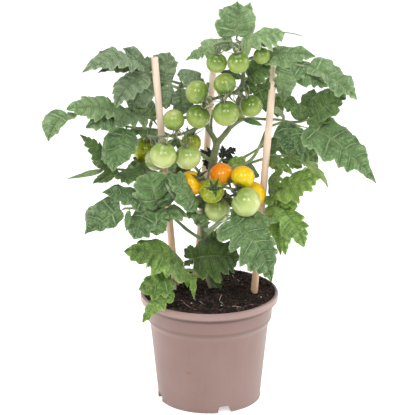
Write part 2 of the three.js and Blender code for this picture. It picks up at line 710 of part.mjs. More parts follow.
place("main_stem", makeStem, colours.stem, 0.7, true);
for (const [name, ends] of Object.entries(stakes)) {
  place(name, (grow) => makeStake(ends, grow), colours.stake, 0.7, true);
}
place("soil", () => makeSoil(), colours.soil, 1);
placed.pop();
place("pot", () => makePot(), colours.pot, 0.45, true);
placed.pop();
for (const [name, bunch] of Object.entries(trusses)) {
  bunch.tomatoes.forEach((tomato, i) => {
    const colour = ripeness[tomato.colour];
    place(name.replace("truss", "tomato") + "_" + (i + 1), (grow) => makeTomato(tomato, grow), colour, 0.25);
  });
}
for (const [name, bunch] of Object.entries(trusses)) {
  place(name, (grow) => makeTruss(bunch, grow), colours.truss, 0.8);
}
for (const [name, leaf] of Object.entries(leaves)) {
  place(name, (grow) => makeLeaf(leaf, grow), colours.leaf, 0.65);
}

export default group;
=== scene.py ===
# %% [markdown]
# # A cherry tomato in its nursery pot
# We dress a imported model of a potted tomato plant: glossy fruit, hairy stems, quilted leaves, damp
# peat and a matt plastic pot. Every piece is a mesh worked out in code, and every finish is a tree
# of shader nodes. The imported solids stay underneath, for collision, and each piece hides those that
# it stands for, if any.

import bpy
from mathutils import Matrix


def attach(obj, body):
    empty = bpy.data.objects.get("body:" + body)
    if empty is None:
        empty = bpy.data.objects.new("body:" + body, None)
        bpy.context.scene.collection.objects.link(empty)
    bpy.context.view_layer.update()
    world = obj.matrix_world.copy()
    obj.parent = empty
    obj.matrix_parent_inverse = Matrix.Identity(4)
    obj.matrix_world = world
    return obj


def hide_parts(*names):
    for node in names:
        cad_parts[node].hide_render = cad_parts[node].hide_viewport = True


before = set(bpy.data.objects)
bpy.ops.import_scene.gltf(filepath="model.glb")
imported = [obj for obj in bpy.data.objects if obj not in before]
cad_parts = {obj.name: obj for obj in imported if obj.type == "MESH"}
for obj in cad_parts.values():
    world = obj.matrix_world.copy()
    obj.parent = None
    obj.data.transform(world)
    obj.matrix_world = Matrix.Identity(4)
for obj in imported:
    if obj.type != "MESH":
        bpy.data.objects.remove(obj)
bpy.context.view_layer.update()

# %% [markdown]
# ## The camera first
# A long lens from well back keeps the plant's upright lines upright. The camera stands about two
# metres off and looks a little down, so that the pot's rim shows as a thin ellipse.

# %% Set the camera
import itertools
import math
from types import SimpleNamespace

import bpy
import numpy as np
from mathutils import Vector, noise

MM = 0.001
TURN = 2 * math.pi
scene = bpy.context.scene


def show(thing):
    scene.collection.objects.link(thing)
    return thing


camera = show(bpy.data.objects.new("camera", bpy.data.cameras.new("camera")))
camera.data.lens = 175
camera.data.sensor_width = 36
camera.location = (-0.0018, -1.9244, 0.8177)
camera.rotation_euler = (math.radians(72.24), 0, 0)
scene.camera = camera
print("camera at", tuple(round(c, 2) for c in camera.location))

# %% [markdown]
# ## Shader sums that read as sums
# A finish is a tree of nodes, and trees are hard to read as code. So one small class wraps a
# socket and teaches Python's signs to it: `grain * 0.1` adds a Math node, and a vector goes through
# Vector Math. Any other node comes from a single method, which takes the node's type, its settings
# and what goes into its sockets. A finish's colour is laid down in layers, each through a mask.

# %% Wrap a socket
class Wire:
    """One output socket of a finish, with Python's arithmetic."""

    def __init__(self, finish, socket):
        self.finish = finish
        self.socket = socket

    def sum(self, operation, *terms):
        is_vector = self.socket.type in ("VECTOR", "RGBA")
        kind = "ShaderNodeVectorMath" if is_vector else "ShaderNodeMath"
        return self.finish.node(kind, {"operation": operation}, dict(enumerate(terms)))

    def __add__(self, other):
        return self.sum("ADD", self, other)

    __radd__ = __add__

    def __sub__(self, other):
        return self.sum("SUBTRACT", self, other)

    def __mul__(self, other):
        return self.sum("MULTIPLY", self, other)

    def __abs__(self):
        return self.sum("ABSOLUTE", self)

    def most(self, other):
        return self.sum("MAXIMUM", self, other)

    def fraction(self):
        return self.sum("FRACT", self)

    def rise(self, low, high):
        """0 below low, 1 above high, and a smooth step between. It falls if low is above high."""
        inputs = {"Value": self, "From Min": min(low, high), "From Max": max(low, high)}
        if low > high:
            inputs |= {"To Min": 1.0, "To Max": 0.0}
        return self.finish.node("ShaderNodeMapRange", {"interpolation_type": "SMOOTHSTEP"}, inputs)


# %% Build a finish
def rgb(red, green, blue):
    """A colour of 0 to 255 on a screen, as the linear colour that shaders take."""
    return tuple((c / 255) ** 2.2 for c in (red, green, blue)) + (1.0,)


class Finish:
    """A material with one Principled shader. Constants are set on its sockets."""

    def __init__(self, name, constants):
        self.material = bpy.data.materials.new(name)
        self.material.use_nodes = True
        self.tree = self.material.node_tree
        self.shader = self.tree.nodes["Principled BSDF"]
        for socket, value in constants.items():
            self.shader.inputs[socket].default_value = value

    def join(self, socket, value):
        if isinstance(value, Wire):
            self.tree.links.new(value.socket, socket)
        elif socket.type == "VECTOR" and isinstance(value, (int, float)):
            socket.default_value = (value, value, value)
        else:
            socket.default_value = value

    def node(self, kind, settings, inputs, out=0):
        made = self.tree.nodes.new(kind)
        for name, value in settings.items():
            setattr(made, name, value)
        for key, value in inputs.items():
            self.join(made.inputs[key], value)
        return Wire(self, made.outputs[out])

    def place(self):
        """Where on the piece a point lies, in metres."""
        return self.node("ShaderNodeTexCoord", {}, {}, "Object")

    def vector(self, x, y, z):
        return self.node("ShaderNodeCombineXYZ", {}, {0: x, 1: y, 2: z})

    def mark(self):
        """The three numbers that a mesh keeps for each of its points."""
        vector = self.node("ShaderNodeAttribute", {"attribute_name": "mark"}, {}, "Vector")
        first = self.node("ShaderNodeSeparateXYZ", {}, {0: vector})
        return [Wire(self, socket) for socket in first.socket.node.outputs]

    def noise(self, where, scale, detail=3.0, roughness=0.55):
        inputs = {"Vector": where, "Scale": scale, "Detail": detail, "Roughness": roughness}
        return self.node("ShaderNodeTexNoise", {}, inputs, "Fac")

    def cells(self, where, scale, feature="DISTANCE_TO_EDGE"):
        inputs = {"Vector": where, "Scale": scale}
        return self.node("ShaderNodeTexVoronoi", {"feature": feature}, inputs, "Distance")

    def blend(self, share, a, b):
        return self.node("ShaderNodeMix", {"data_type": "RGBA"}, {0: share, 6: a, 7: b}, 2)

    def bump(self, height, depth, strength=1.0):
        """Lets the surface rise by depth metres where height is 1."""
        inputs = {"Strength": strength, "Distance": depth, "Height": height}
        self.join(self.shader.inputs["Normal"], self.node("ShaderNodeBump", {}, inputs))

    def lay(self, mask, colour):
        """Covers the colour so far with another, where the mask is 1."""
        self.colour = self.blend(mask, self.colour, colour)

    def close(self, roughness):
        """Feeds the shader its colour and roughness, and gives the finished material."""
        self.join(self.shader.inputs["Base Color"], self.colour)
        self.join(self.shader.inputs["Roughness"], roughness)
        return self.material


print("shader sums are ready")

# %% [markdown]
# ## Gathering points and faces
# Leaves, sepals, hairs and crumbs come by the thousand. Making a Blender object for each would be
# slow, so numpy works out their points and a batch joins them in one mesh. Each point also keeps
# three numbers, its mark, for the shader: how far along a vein it is, for instance.

# %% Join many forms in one mesh
class Batch:
    """Points, faces and marks of many small forms that become one piece."""

    def __init__(self):
        self.points, self.marks, self.faces, self.finishes = [], [], [], []
        self.count = 0

    def add(self, points, faces, marks=None, finish=0):
        self.points.append(np.asarray(points, float))
        self.marks.append(np.zeros((len(points), 3)) if marks is None else np.asarray(marks, float))
        self.faces += (np.asarray(faces) + self.count).tolist()
        self.finishes += [finish] * len(faces)
        self.count += len(points)

    def piece(self, name, materials, slot, nodes=()):
        """Puts the batch in the scene as one mesh, on the one body, in place of its solids."""
        mesh = bpy.data.meshes.new(name)
        mesh.from_pydata(np.concatenate(self.points).tolist(), [], self.faces)
        mesh.attributes.new("mark", "FLOAT_VECTOR", "POINT")
        mesh.attributes["mark"].data.foreach_set("vector", np.concatenate(self.marks).ravel())
        for material in materials:
            mesh.materials.append(material)
        mesh.polygons.foreach_set("material_index", self.finishes)
        mesh.shade_smooth()
        piece = show(bpy.data.objects.new(name, mesh))
        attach(piece, "root")
        if nodes:
            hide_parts(*nodes)
        return piece


def grid_faces(rows, columns, wrap=False, flip=False):
    """Quads over a grid of points, row by row. With wrap, each row closes on itself."""
    across = columns if wrap else columns - 1
    i, j = np.meshgrid(np.arange(rows - 1), np.arange(across), indexing="ij")
    a = (i * columns + j).ravel()
    b = (i * columns + (j + 1) % columns).ravel()
    quads = np.stack([a, b, b + columns, a + columns], axis=1)
    return quads[:, ::-1] if flip else quads


def marks_of(*parts):
    """A mark for each point of a grid, from three parts that spread over it."""
    return np.stack(np.broadcast_arrays(*parts), axis=-1).reshape(-1, 3)


print("batches are ready")

# %% [markdown]
# ## Paths and tubes
# Stems, stalks and fibres are tubes along a curve through a few given points. A centripetal
# spline passes through every point and never loops, so it is the safe one for points that stand at
# uneven distances. The tube's ring is carried along without twisting.

# %% Draw a curve through points
def curve(points, shares):
    """Places on a centripetal Catmull-Rom spline. A share of 0 is its start and 1 its end."""
    points = np.asarray(points, float)
    padded = np.vstack([2 * points[0] - points[1], points, 2 * points[-1] - points[-2]])
    places = []
    for share in np.atleast_1d(shares):
        position = min(share, 1) * (len(points) - 1)
        k = min(int(position), len(points) - 2)
        p0, p1, p2, p3 = padded[k : k + 4]
        d0, d1, d2 = (np.linalg.norm(b - a) ** 0.5 for a, b in ((p0, p1), (p1, p2), (p2, p3)))
        leave = ((p1 - p0) / d0 - (p2 - p0) / (d0 + d1) + (p2 - p1) / d1) * d1
        arrive = ((p2 - p1) / d1 - (p3 - p1) / (d1 + d2) + (p3 - p2) / d2) * d1
        w = position - k
        turn = (2 * leave + arrive + 3 * (p1 - p2)) * w**2
        places.append(p1 + leave * w - turn + (2 * (p1 - p2) + leave + arrive) * w**3)
    return np.array(places)


def unit(vectors):
    return vectors / np.linalg.norm(vectors, axis=-1, keepdims=True)


def around(count):
    """Angles spaced evenly round a full turn."""
    return np.arange(count) / count * TURN


# %% Sweep a tube along a line of points
def rings(line, radii, sides):
    """Points round a line, and the direction from the line to each of them."""
    ahead = unit(np.gradient(line, axis=0))
    across = np.array([0.0, 1.0, 0.0]) if abs(ahead[0][1]) < 0.9 else np.array([1.0, 0.0, 0.0])
    turns = around(sides)
    points, outward = [], []
    for place, direction, radius in zip(line, ahead, radii):
        across = unit(across - across.dot(direction) * direction)
        third = np.cross(direction, across)
        out = np.outer(np.cos(turns), across) + np.outer(np.sin(turns), third)
        points.append(place + out * radius)
        outward.append(out)
    return np.concatenate(points), np.concatenate(outward)


def add_tube(batch, line, radii, sides=8, finish=0):
    """A closed tube. Its marks are the turn round it, the distance along it and its radius."""
    radii = np.broadcast_to(radii, len(line))
    points, outward = rings(line, radii, sides)
    run = np.concatenate([[0], np.cumsum(np.linalg.norm(np.diff(line, axis=0), axis=1))])
    marks = np.stack([
        np.tile(np.arange(sides) / sides, len(line)),
        np.repeat(run, sides),
        np.repeat(radii, sides),
    ], axis=1)
    batch.add(points, grid_faces(len(line), sides, wrap=True), marks, finish)
    for loop, order in ((points[:sides], -1), (points[-sides:], 1)):
        batch.add(loop, [list(range(sides))[::order]], np.zeros((sides, 3)), finish)
    return points, outward


# %% Grow hairs on a tube
HAIR_RADIUS = 0.055 * MM
SAME_RING = 0.006  # metres: points next in the list but further apart are no neighbours
THIRDS = (0, 2.09, 4.19)  # of a full turn


def add_hairs(batch, points, outward, count, length, rng, finish=0):
    """Fine tapered hairs that stand off a tube's skin, each a three-sided spike."""
    picks = rng.integers(0, len(points) - 1, count)
    slide = rng.random((count, 1))
    roots = points[picks] * (1 - slide) + points[picks + 1] * slide
    far = np.linalg.norm(points[picks] - points[picks + 1], axis=1) > SAME_RING
    roots[far] = points[picks][far]
    lean = unit(outward[picks] + rng.normal(0, 0.35, (count, 3)))
    side = unit(np.cross(lean, rng.normal(0, 1, (count, 3))))
    third = np.cross(lean, side)
    long = length * rng.uniform(0.4, 1.1, (count, 1))
    base = [roots + HAIR_RADIUS * (side * math.cos(a) + third * math.sin(a)) for a in THIRDS]
    spikes = np.stack([*base, roots + lean * long], axis=1).reshape(-1, 3)
    corners = np.array([[0, 1, 3], [1, 2, 3], [2, 0, 3]])
    faces = (np.arange(count)[:, None, None] * 4 + corners).reshape(-1, 3)
    batch.add(spikes, faces, None, finish)


def add_furry_tube(batch, line, radii, sides, count, length, rng, finish=0):
    """A tube and its hairs, which wear the finish after the tube's."""
    points, outward = add_tube(batch, line, radii, sides, finish)
    add_hairs(batch, points, outward, count, length, rng, finish + 1)


print("tubes and hairs are ready")

# %% [markdown]
# ## The pot
# A nursery pot is one thin moulding: a tapered wall, a wider upright band, a rolled lip over it and
# a foot ring with notches, so that water can leave under the raised floor. A lathe turns it from
# its section. Plastic never has a true corner, so every corner of the section is rounded first.

# %% Round a section and turn it
def rounded(section, steps=4):
    """The section with each corner replaced by a small arc. A corner is radius, height, size."""
    line = [np.array(section[0][:2], float)]
    for before, corner, after in zip(section, section[1:], section[2:]):
        centre = np.array(corner[:2], float)
        neighbours = (np.array(other[:2]) for other in (before, after))
        start, end = (centre + unit(other - centre) * corner[2] for other in neighbours)
        for w in np.linspace(0, 1, steps + 1):
            line.append((1 - w) ** 2 * start + 2 * w * (1 - w) * centre + w**2 * end)
    line.append(np.array(section[-1][:2], float))
    return np.array(line)


def lathe(section, sides):
    """Points of a section of radii and heights, turned about the upright axis."""
    turns = around(sides)
    radii, heights = section[:, :1], section[:, 1:]
    flat = np.broadcast_to(heights, (len(section), sides))
    return np.stack([radii * np.cos(turns), radii * np.sin(turns), flat], axis=-1).reshape(-1, 3)


POT_SIDES = 180
POT_SECTION = [
    (0, 8.5, 0), (49.2, 8.5, 1), (49, 0, 0.4), (52.7, 0, 0.7), (52.7, 2.2, 0.4), (52.3, 2.9, 0.3),
    (60.2, 80.5, 0.8), (63.3, 86.6, 0.6), (63.6, 88, 0.5), (64.3, 104.4, 0.5), (69.2, 104.6, 0.7),
    (70, 105.8, 0.7), (70, 113, 2.3), (67, 113, 0.9), (66.4, 111, 1), (62.5, 104.2, 1.5), (61.9, 88.5, 1),
    (58.4, 80.5, 1), (51.2, 10.2, 1.2), (0, 10.2, 0),
]
section = rounded(POT_SECTION)
pot_batch = Batch()
pot_faces = grid_faces(len(section), POT_SIDES, wrap=True, flip=True)
pot_batch.add(lathe(section, POT_SIDES) * MM, pot_faces)
print(f"the pot's section has {len(section)} points")

# %% [markdown]
# The finish is a dusty rose-brown plastic, satin rather than glossy. What makes it read as
# moulded plastic is small: a slow drift in colour, a fine grain in the shine, faint upright
# streaks where water ran, painted shade in the corners under the lip and the band, a painted
# highlight along the top of the lip, and one small scuff.

# %% Mix the pot's plastic
def pot_plastic():
    f = Finish("pot_plastic", {
        "Specular IOR Level": 0.42, "Subsurface Weight": 0.06, "Sheen Weight": 0.12,
        "Subsurface Radius": (0.004, 0.002, 0.0015),
    })
    where = f.place()
    drift = f.noise(where, 14, 4)
    streaks = f.noise(where * (260.0, 260.0, 9.0), 1.0, 3)
    grain = f.noise(where, 2600, 2)
    f.colour = f.blend(drift.rise(0.3, 0.7), rgb(127, 101, 94), rgb(137, 112, 105))
    f.lay(streaks.rise(0.52, 0.8) * 0.18, rgb(120, 95, 88))
    dust = f.noise(where, 420, 5, 0.7).rise(0.62, 0.76)
    f.lay(dust * 0.3, rgb(178, 158, 151))
    spot = (where - (-0.0205, -0.0525, 0.044)) * (160.0, 160.0, 320.0)
    size = f.node("ShaderNodeVectorMath", {"operation": "LENGTH"}, {0: spot}, "Value")
    scuff = (size + f.noise(where, 900, 3)).rise(1.15, 0.75)
    f.lay(scuff * 0.55, rgb(128, 88, 62))
    up = f.node("ShaderNodeSeparateXYZ", {}, {0: where}, "Z")
    lip = up.rise(0.1052, 0.1075)
    # Painted shade: dark bands just under the lip and under the band, where the overhangs shade the wall.
    shade_under_lip = up.rise(0.0996, 0.1034) * up.rise(0.1076, 0.1045)
    shade_under_band = up.rise(0.0832, 0.0868) * up.rise(0.0900, 0.0880)
    f.lay((shade_under_lip * 0.8).most(shade_under_band * 0.3), rgb(66, 42, 35))
    # Painted highlight: the top of the lip is laid lighter.
    f.lay(lip * 0.35, rgb(176, 152, 145))
    f.bump(grain * 0.5 + f.noise(where, 700, 3), 0.00006)
    rough = 0.4 + grain * 0.1 + dust * 0.18 + streaks * 0.06 - lip * 0.14
    return f.close(rough)


plastic = pot_plastic()
print("made", plastic.name)

# %% [markdown]
# Water leaves through round holes in the floor and notches in the foot. A boolean cuts both out of
# the turned form, with simple prisms as its tools, and the prisms are thrown away after it.

# %% Cut the drain notches and holes
NOTCH = [(-7.5, -1), (7.5, -1), (5.2, 6.4), (4.4, 7), (-4.4, 7), (-5.2, 6.4)]  # across and up
NOTCH_REACH = 46, 56  # from the pot's axis
NOTCH_TURNS = [17 + 90 * k for k in range(4)]
HOLE_COUNT = 6
HOLE_RADIUS = 4
HOLE_CIRCLE = 31.6
HOLE_HEIGHTS = 6, 13


def cutter(near, far):
    """A prism between two loops of points in millimetres."""
    n = len(near)
    sides = [(k, (k + 1) % n, n + (k + 1) % n, n + k) for k in range(n)]
    mesh = bpy.data.meshes.new("cutter")
    points = (np.array([*near, *far]) * MM).tolist()
    mesh.from_pydata(points, [], [list(range(n))[::-1], list(range(n, 2 * n)), *sides])
    return show(bpy.data.objects.new("cutter", mesh))


def notch_cutter(turn):
    out = np.array([math.cos(turn), math.sin(turn), 0])
    across = np.array([-math.sin(turn), math.cos(turn), 0])
    up = np.array([0, 0, 1.0])
    return cutter(*([out * r + across * x + up * z for x, z in NOTCH] for r in NOTCH_REACH))


def hole_cutter(turn):
    x, y = HOLE_CIRCLE * math.cos(turn), HOLE_CIRCLE * math.sin(turn)
    ring = [(x + HOLE_RADIUS * math.cos(a), y + HOLE_RADIUS * math.sin(a)) for a in around(24)]
    return cutter(*([(*place, z) for place in ring] for z in HOLE_HEIGHTS))


pot = pot_batch.piece("pot_body", [plastic], "pot", ["pot"])
cutters = [notch_cutter(math.radians(turn)) for turn in NOTCH_TURNS]
cutters += [hole_cutter((k + 0.5) / HOLE_COUNT * TURN) for k in range(HOLE_COUNT)]
for tool in cutters:
    modifier = pot.modifiers.new("cut", "BOOLEAN")
    modifier.operation = "DIFFERENCE"
    modifier.object = tool
bpy.context.view_layer.update()
shape = bpy.data.meshes.new_from_object(pot.evaluated_get(bpy.context.evaluated_depsgraph_get()))
pot.modifiers.clear()
pot.data = shape
shape.set_sharp_from_angle(angle=math.radians(38))
for tool in cutters:
    bpy.data.objects.remove(tool)
print(f"pot: {len(pot.data.polygons)} faces")

# %% [markdown]
# ## The stakes
# Three birch dowels hold the plant up. Each is a plain tube with eased ends. The life is in the
# wood: fine grain that runs the whole length, darker lines, tiny pores and a few brown stains.
# Painted shade browns the lower part of each dowel, where the leaves shade it. The grain follows
# the dowel's own length, whatever its lean, because each point's mark says how far along it is.

# %% Mix the birch
def birch():
    f = Finish("birch", {"Specular IOR Level": 0.3})
    turn, run, radius = f.mark()
    where = f.place()
    fibres = f.noise(f.vector(turn * 24.0, run * 26.0, radius * 900.0), 1.6, 5, 0.7)
    lines = f.noise(f.vector(turn * 60.0, run * 14.0, 0.0), 1.0, 2)
    pores = f.noise(f.vector(turn * 120.0, run * 420.0, 0.0), 1.0, 2)
    f.colour = f.blend(fibres.rise(0.3, 0.72), rgb(238, 212, 190), rgb(250, 229, 210))
    f.lay(lines.rise(0.55, 0.75) * 0.45, rgb(222, 186, 156))
    f.lay(pores.rise(0.66, 0.78) * 0.5, rgb(190, 150, 122))
    # Painted shade: browner towards the foot of each dowel, for the shade under the leaves. The noise adds
    # a few random stains.
    shade_and_stains = run.rise(0.26, 0.06).most(f.noise(where, 60, 2).rise(0.6, 0.85) * 0.3)
    f.lay(shade_and_stains * 0.75, rgb(178, 138, 98))
    f.bump(fibres + pores * 0.6, 0.00012)
    return f.close(0.58 + fibres * 0.18)


wood = birch()
print("made", wood.name)

# %% Stand the stakes in the peat
STAKE_RADIUS = 3.6
EASED_RADII = [2.8, 3.35, 3.35, 2.8]  # the first two rings and the last two
BURIED = [-0.045, -0.0445, -0.0442]  # metres along from the foot, as below
TOP_RINGS = [0.0006, 0.001, 0.0012]  # past the last full ring
STAKES = {
    "stake_left": ((-34, 7, 112), (-54, 8, 354)),
    "stake_right": ((45, -6, 108), (64, 14, 344)),
    "stake_back": ((-13, 40, 112), (5, 50, 345)),
}
for name, (foot, top) in STAKES.items():
    foot, top = np.array(foot) * MM, np.array(top) * MM
    ahead = unit(top - foot)
    stops = [*BURIED, *np.linspace(-0.03, np.linalg.norm(top - foot) - TOP_RINGS[-1], 30)]
    stops += [stops[-1] + step for step in TOP_RINGS]
    radii = np.full(len(stops), STAKE_RADIUS * MM)
    radii[[0, 1, -2, -1]] = np.array(EASED_RADII) * MM
    stake = Batch()
    add_tube(stake, foot + np.outer(stops, ahead), radii, sides=28)
    stake.piece(name + "_dowel", [wood], "stake", [name])
print(f"{len(STAKES)} stakes")

# %% [markdown]
# ## Green stems
# The trunk forks into two branches and a thin shoot. It is thickest near the peat, mottled, ribbed
# along its length and furred all over with short pale hairs, as every part of a tomato is. One
# recipe, with other colours, also gives the skin of the leaf stalks and of the trusses.

# %% Mix the stem's skin
def green_skin(name, low, high, flush):
    f = Finish(name, {
        "Specular IOR Level": 0.35, "Subsurface Weight": 0.08, "Sheen Weight": 0.25,
        "Subsurface Radius": (0.001, 0.002, 0.0006),
    })
    turn, run, radius = f.mark()
    where = f.place()
    ribs = f.noise(f.vector(turn * 18.0, run * 30.0, radius), 1.0, 3)
    blotch = f.noise(where, 90, 4)
    f.colour = f.blend(blotch.rise(0.3, 0.7), low, high)
    f.lay(ribs.rise(0.5, 0.75) * 0.4, flush)
    f.bump(ribs + f.noise(where, 1500, 2) * 0.4, 0.0002)
    return f.close(0.55 + blotch * 0.2)


def hair_white():
    f = Finish("hair", {"Sheen Weight": 0.2})
    f.colour = f.blend(f.noise(f.place(), 300, 2), rgb(150, 162, 128), rgb(198, 206, 178))
    return f.close(0.5)


stem_skin = green_skin("stem_skin", rgb(92, 100, 62), rgb(128, 141, 96), rgb(74, 70, 46))
stalk_skin = green_skin("stalk_skin", rgb(98, 122, 72), rgb(140, 162, 108), rgb(84, 88, 56))
truss_skin = green_skin("truss_skin", rgb(66, 84, 48), rgb(108, 128, 78), rgb(58, 62, 40))
hair = hair_white()
print("made", stem_skin.name, stalk_skin.name, truss_skin.name)

# %% Grow the main stem
# One row for each branch: its path, the radii at its ends and its number of hairs.
STEM = [
    ([(5, 6, 72), (4, 6, 112), (0, 6, 132), (-4, 6, 159), (-5, 6, 186), (-1, 6, 216), (4, 6, 249),
      (8, 5, 268)], (5.0, 3.2), 7000),
    ([(8, 5, 267), (21, 6, 284), (28, 8, 305), (33, 5, 331), (33, 1, 361), (30, 2, 371)],
     (2.8, 1.4), 3400),
    ([(8, 5, 267), (-3, 8, 286), (-5, 8, 308), (-1, 9, 328)], (2.6, 1.5), 2200),
    ([(6, 6, 262), (3, 9, 274), (2, 10, 286), (4, 9, 300)], (1.3, 0.9), 700),
]
STEM_SIDES = 20
RIBS = 5
PEAT_TOP = 0.113  # metres: hairs grow above it
rng = np.random.default_rng(4)
stem = Batch()
for path, (thick, thin), hairs in STEM:
    shares = np.linspace(0, 1, 110)
    line = curve(path, shares) * MM
    radii = (thick + (thin - thick) * shares) * MM
    radii *= 1 + 0.05 * np.sin(shares * 61) + 0.035 * np.sin(shares * 23 + 1)
    points, outward = add_tube(stem, line, radii, sides=STEM_SIDES)
    turn = np.tile(np.arange(STEM_SIDES), len(line)) / STEM_SIDES
    ribs = 0.18 * MM * np.sin(turn * 2 * RIBS * math.pi)
    stem.points[-3] = points + outward * ribs[:, None]  # the tube comes before its two end caps
    above = points[:, 2] > PEAT_TOP
    add_hairs(stem, points[above], outward[above], hairs, 1.5 * MM, rng, finish=1)
stem.piece("stem", [stem_skin, hair], "stem", ["main_stem"])
print(f"stem: {len(stem.faces)} faces")

# %% [markdown]
# ## The fruit
# A cherry tomato is a slightly squashed globe with soft shoulders round a dimple. Each is worked
# out at radius 1, a little different from the next, and then scaled and turned to its calyx. The
# skin is thin, glossy and a little clear: gloss comes from a low roughness and a coat, the
# clearness from light that scatters under the skin. Unripe fruit keeps a darker green shoulder and
# pale rays, and the first ripe ones colour from the far end up.

# %% Mix the skins of the fruit
def tomato_skin(name, shoulder, flank, end, ray):
    f = Finish("tomato_" + name, {
        "Coat Weight": 0.4, "Coat Roughness": 0.09, "IOR": 1.4, "Sheen Weight": 0.05,
        "Subsurface Weight": 0.22, "Subsurface Radius": (0.004, 0.0035, 0.0012), "Subsurface Scale": 0.6,
    })
    turn, height, seed = f.mark()
    where = f.place()
    patch = f.noise(where, 70, 3)
    rays = f.noise(f.vector(turn * 9.0, height * 0.8, seed), 1.4, 4)
    ripening = height + (patch - 0.5) * 0.7
    f.colour = f.blend(ripening.rise(0.75, -0.1), shoulder, flank)
    f.lay(ripening.rise(-0.25, -0.95), end)
    f.lay(rays.rise(0.5, 0.74) * height.rise(-0.6, 0.6) * 0.4, ray)
    specks = f.cells(where, 700, "F1").rise(0.3, 0.14)
    f.lay(specks * 0.14, ray)
    bloom = f.noise(where, 200, 4, 0.6).rise(0.5, 0.72)
    f.lay(bloom * 0.15, ray)
    scar = height.rise(-0.988, -0.996)
    f.lay(scar * 0.8, rgb(120, 92, 52))
    f.bump(f.noise(where, 160, 3) + specks * 0.05, 0.00012, 0.5)
    return f.close(0.2 + patch * 0.1 + scar * 0.4)


# Shoulder, flank, far end and rays.
SKINS = {
    "green": [(90, 120, 30), (132, 152, 66), (160, 172, 100), (190, 200, 146)],
    "pale": [(132, 154, 70), (172, 186, 110), (198, 204, 142), (218, 222, 182)],
    "turning": [(114, 132, 8), (162, 164, 6), (204, 182, 6), (204, 204, 70)],
    "yellow": [(220, 196, 0), (250, 196, 0), (250, 172, 0), (250, 220, 40)],
    "amber": [(236, 186, 0), (252, 166, 0), (250, 134, 0), (250, 204, 30)],
    "orange": [(240, 160, 0), (250, 138, 0), (248, 104, 0), (250, 184, 10)],
}
skins = {name: tomato_skin(name, *(rgb(*c) for c in row)) for name, row in SKINS.items()}
print("skins:", ", ".join(skins))

# %% Place the fruit
# For each bunch, the path of its stalk and a row for each tomato: the share of the stalk where it
# leaves it, its centre, its radius, the way its calyx faces, its ripeness.
TRUSSES = {
    "top": ([(33, 1, 360), (24, -9, 371), (13, -13, 373), (4, -14, 370)], [
        (0.9, (7, -16, 354), 10.2, (0.1, -0.2, 1), "green"),
        (0.45, (28, -24, 356), 10.8, (-0.2, -0.1, 1), "green"),
        (0.1, (51, -12, 360), 8.3, (-0.4, -0.1, 1), "green"),
    ]),
    "middle": ([(33, 5, 328), (26, -4, 322), (16, -6, 319), (6, -7, 316), (0, -7, 314)], [
        (1, (-12, -18, 325), 11.6, (0.8, -0.3, -0.4), "green"),
        (0.4, (15, -17, 333), 11, (0.3, -0.5, -0.8), "green"),
        (0.3, (15, 8, 322), 8.6, (0.3, -0.9, 0.1), "green"),
        (0.9, (-11, -16, 300), 11.8, (0.5, -0.2, 0.8), "green"),
        (0.6, (16, -26, 306), 13, (-0.2, 0.1, 0.9), "green"),
        (0.3, (41, -14, 310), 11, (-0.5, -0.2, 0.9), "green"),
    ]),
    "back": ([(29, 8, 311), (32, 15, 311), (31, 21, 306)], [
        (1, (27, 22, 292), 9.2, (0.2, 0, 1), "pale"),
    ]),
    "left": ([(-4, 8, 285), (-12, -4, 285), (-28, -12, 281), (-44, -14, 279), (-56, -4, 275),
              (-62, 10, 273)], [
        (0.5, (-35, -14, 296), 10.8, (0.3, 0.1, -1), "green"),
        (0.95, (-56, 34, 291), 8.3, (-0.1, -0.8, -0.5), "turning"),
        (1, (-64, 20, 256), 13, (0.1, -0.4, 1), "turning"),
        (0.85, (-52, -8, 254), 11.8, (-0.1, 0.2, 1), "pale"),
        (0.65, (-45, -31, 265), 13, (0.2, 0, 0.9), "pale"),
        (0.35, (-21, -20, 260), 12.8, (-0.2, -0.1, 1), "pale"),
        (0.2, (-18, 3, 268), 10, (0.2, -0.2, 1), "turning"),
    ]),
    "ripe": ([(1, 8, 226), (-1, -4, 229), (4, -16, 231), (14, -22, 230), (23, -24, 228)], [
        (0.45, (-18, -20, 233), 12.4, (0.6, -0.5, 0.6), "amber"),
        (0.7, (12, -9, 238), 12.2, (0.7, -0.6, -0.3), "orange"),
        (0.95, (33, -20, 239), 11.8, (-0.3, -0.7, -0.6), "yellow"),
        (1, (43, -10, 218), 13, (-0.7, -0.5, 0.5), "yellow"),
        (0.95, (36, -38, 219), 14.6, (-0.8, 0, 0.6), "pale"),
        (0.5, (2.5, -37, 230), 11.8, (0.2, -0.8, 0.5), "turning"),
        (0.75, (8, -14, 203), 12.6, (0.2, -0.1, 1), "pale"),
    ]),
}
SLOTS = {"amber": "orange"}  # a ripeness whose slot has another name
SQUASH = 0.95
DIMPLE = 0.14
ROWS, COLUMNS = 36, 50


def frame_of(up):
    """Two directions square to up, and up itself, as the rows of a turn."""
    up = unit(np.array(up, float))
    side = unit(np.cross((0, 1, 0.2), up))
    return np.stack([side, np.cross(up, side), up])


def unit_tomato(rng):
    """A tomato of radius 1, calyx up: its points and their marks."""
    polar = np.linspace(0.001, math.pi - 0.001, ROWS)[:, None]
    turn = around(COLUMNS)[None, :]
    reach = np.sin(polar) ** 0.92
    lobes = 0.014 * np.cos(5 * turn + rng.uniform(0, 6))
    lobes = lobes + 0.01 * np.cos(3 * turn + rng.uniform(0, 6))
    radial = reach * (1 + lobes * np.exp(-((polar - 0.7) / 0.7) ** 2)) * 1.005
    height = SQUASH * np.cos(polar) + 0 * turn
    height = height - DIMPLE * np.exp(-((reach / 0.3) ** 2)) * (polar < 1.6)
    height = height + 0.03 * np.exp(-((reach / 0.05) ** 2)) * (polar > 1.6)
    points = np.stack([radial * np.cos(turn), radial * np.sin(turn), height], axis=-1)
    marks = marks_of(np.abs(turn / math.pi - 1), np.cos(polar), rng.uniform(0, 9))
    return points.reshape(-1, 3), marks


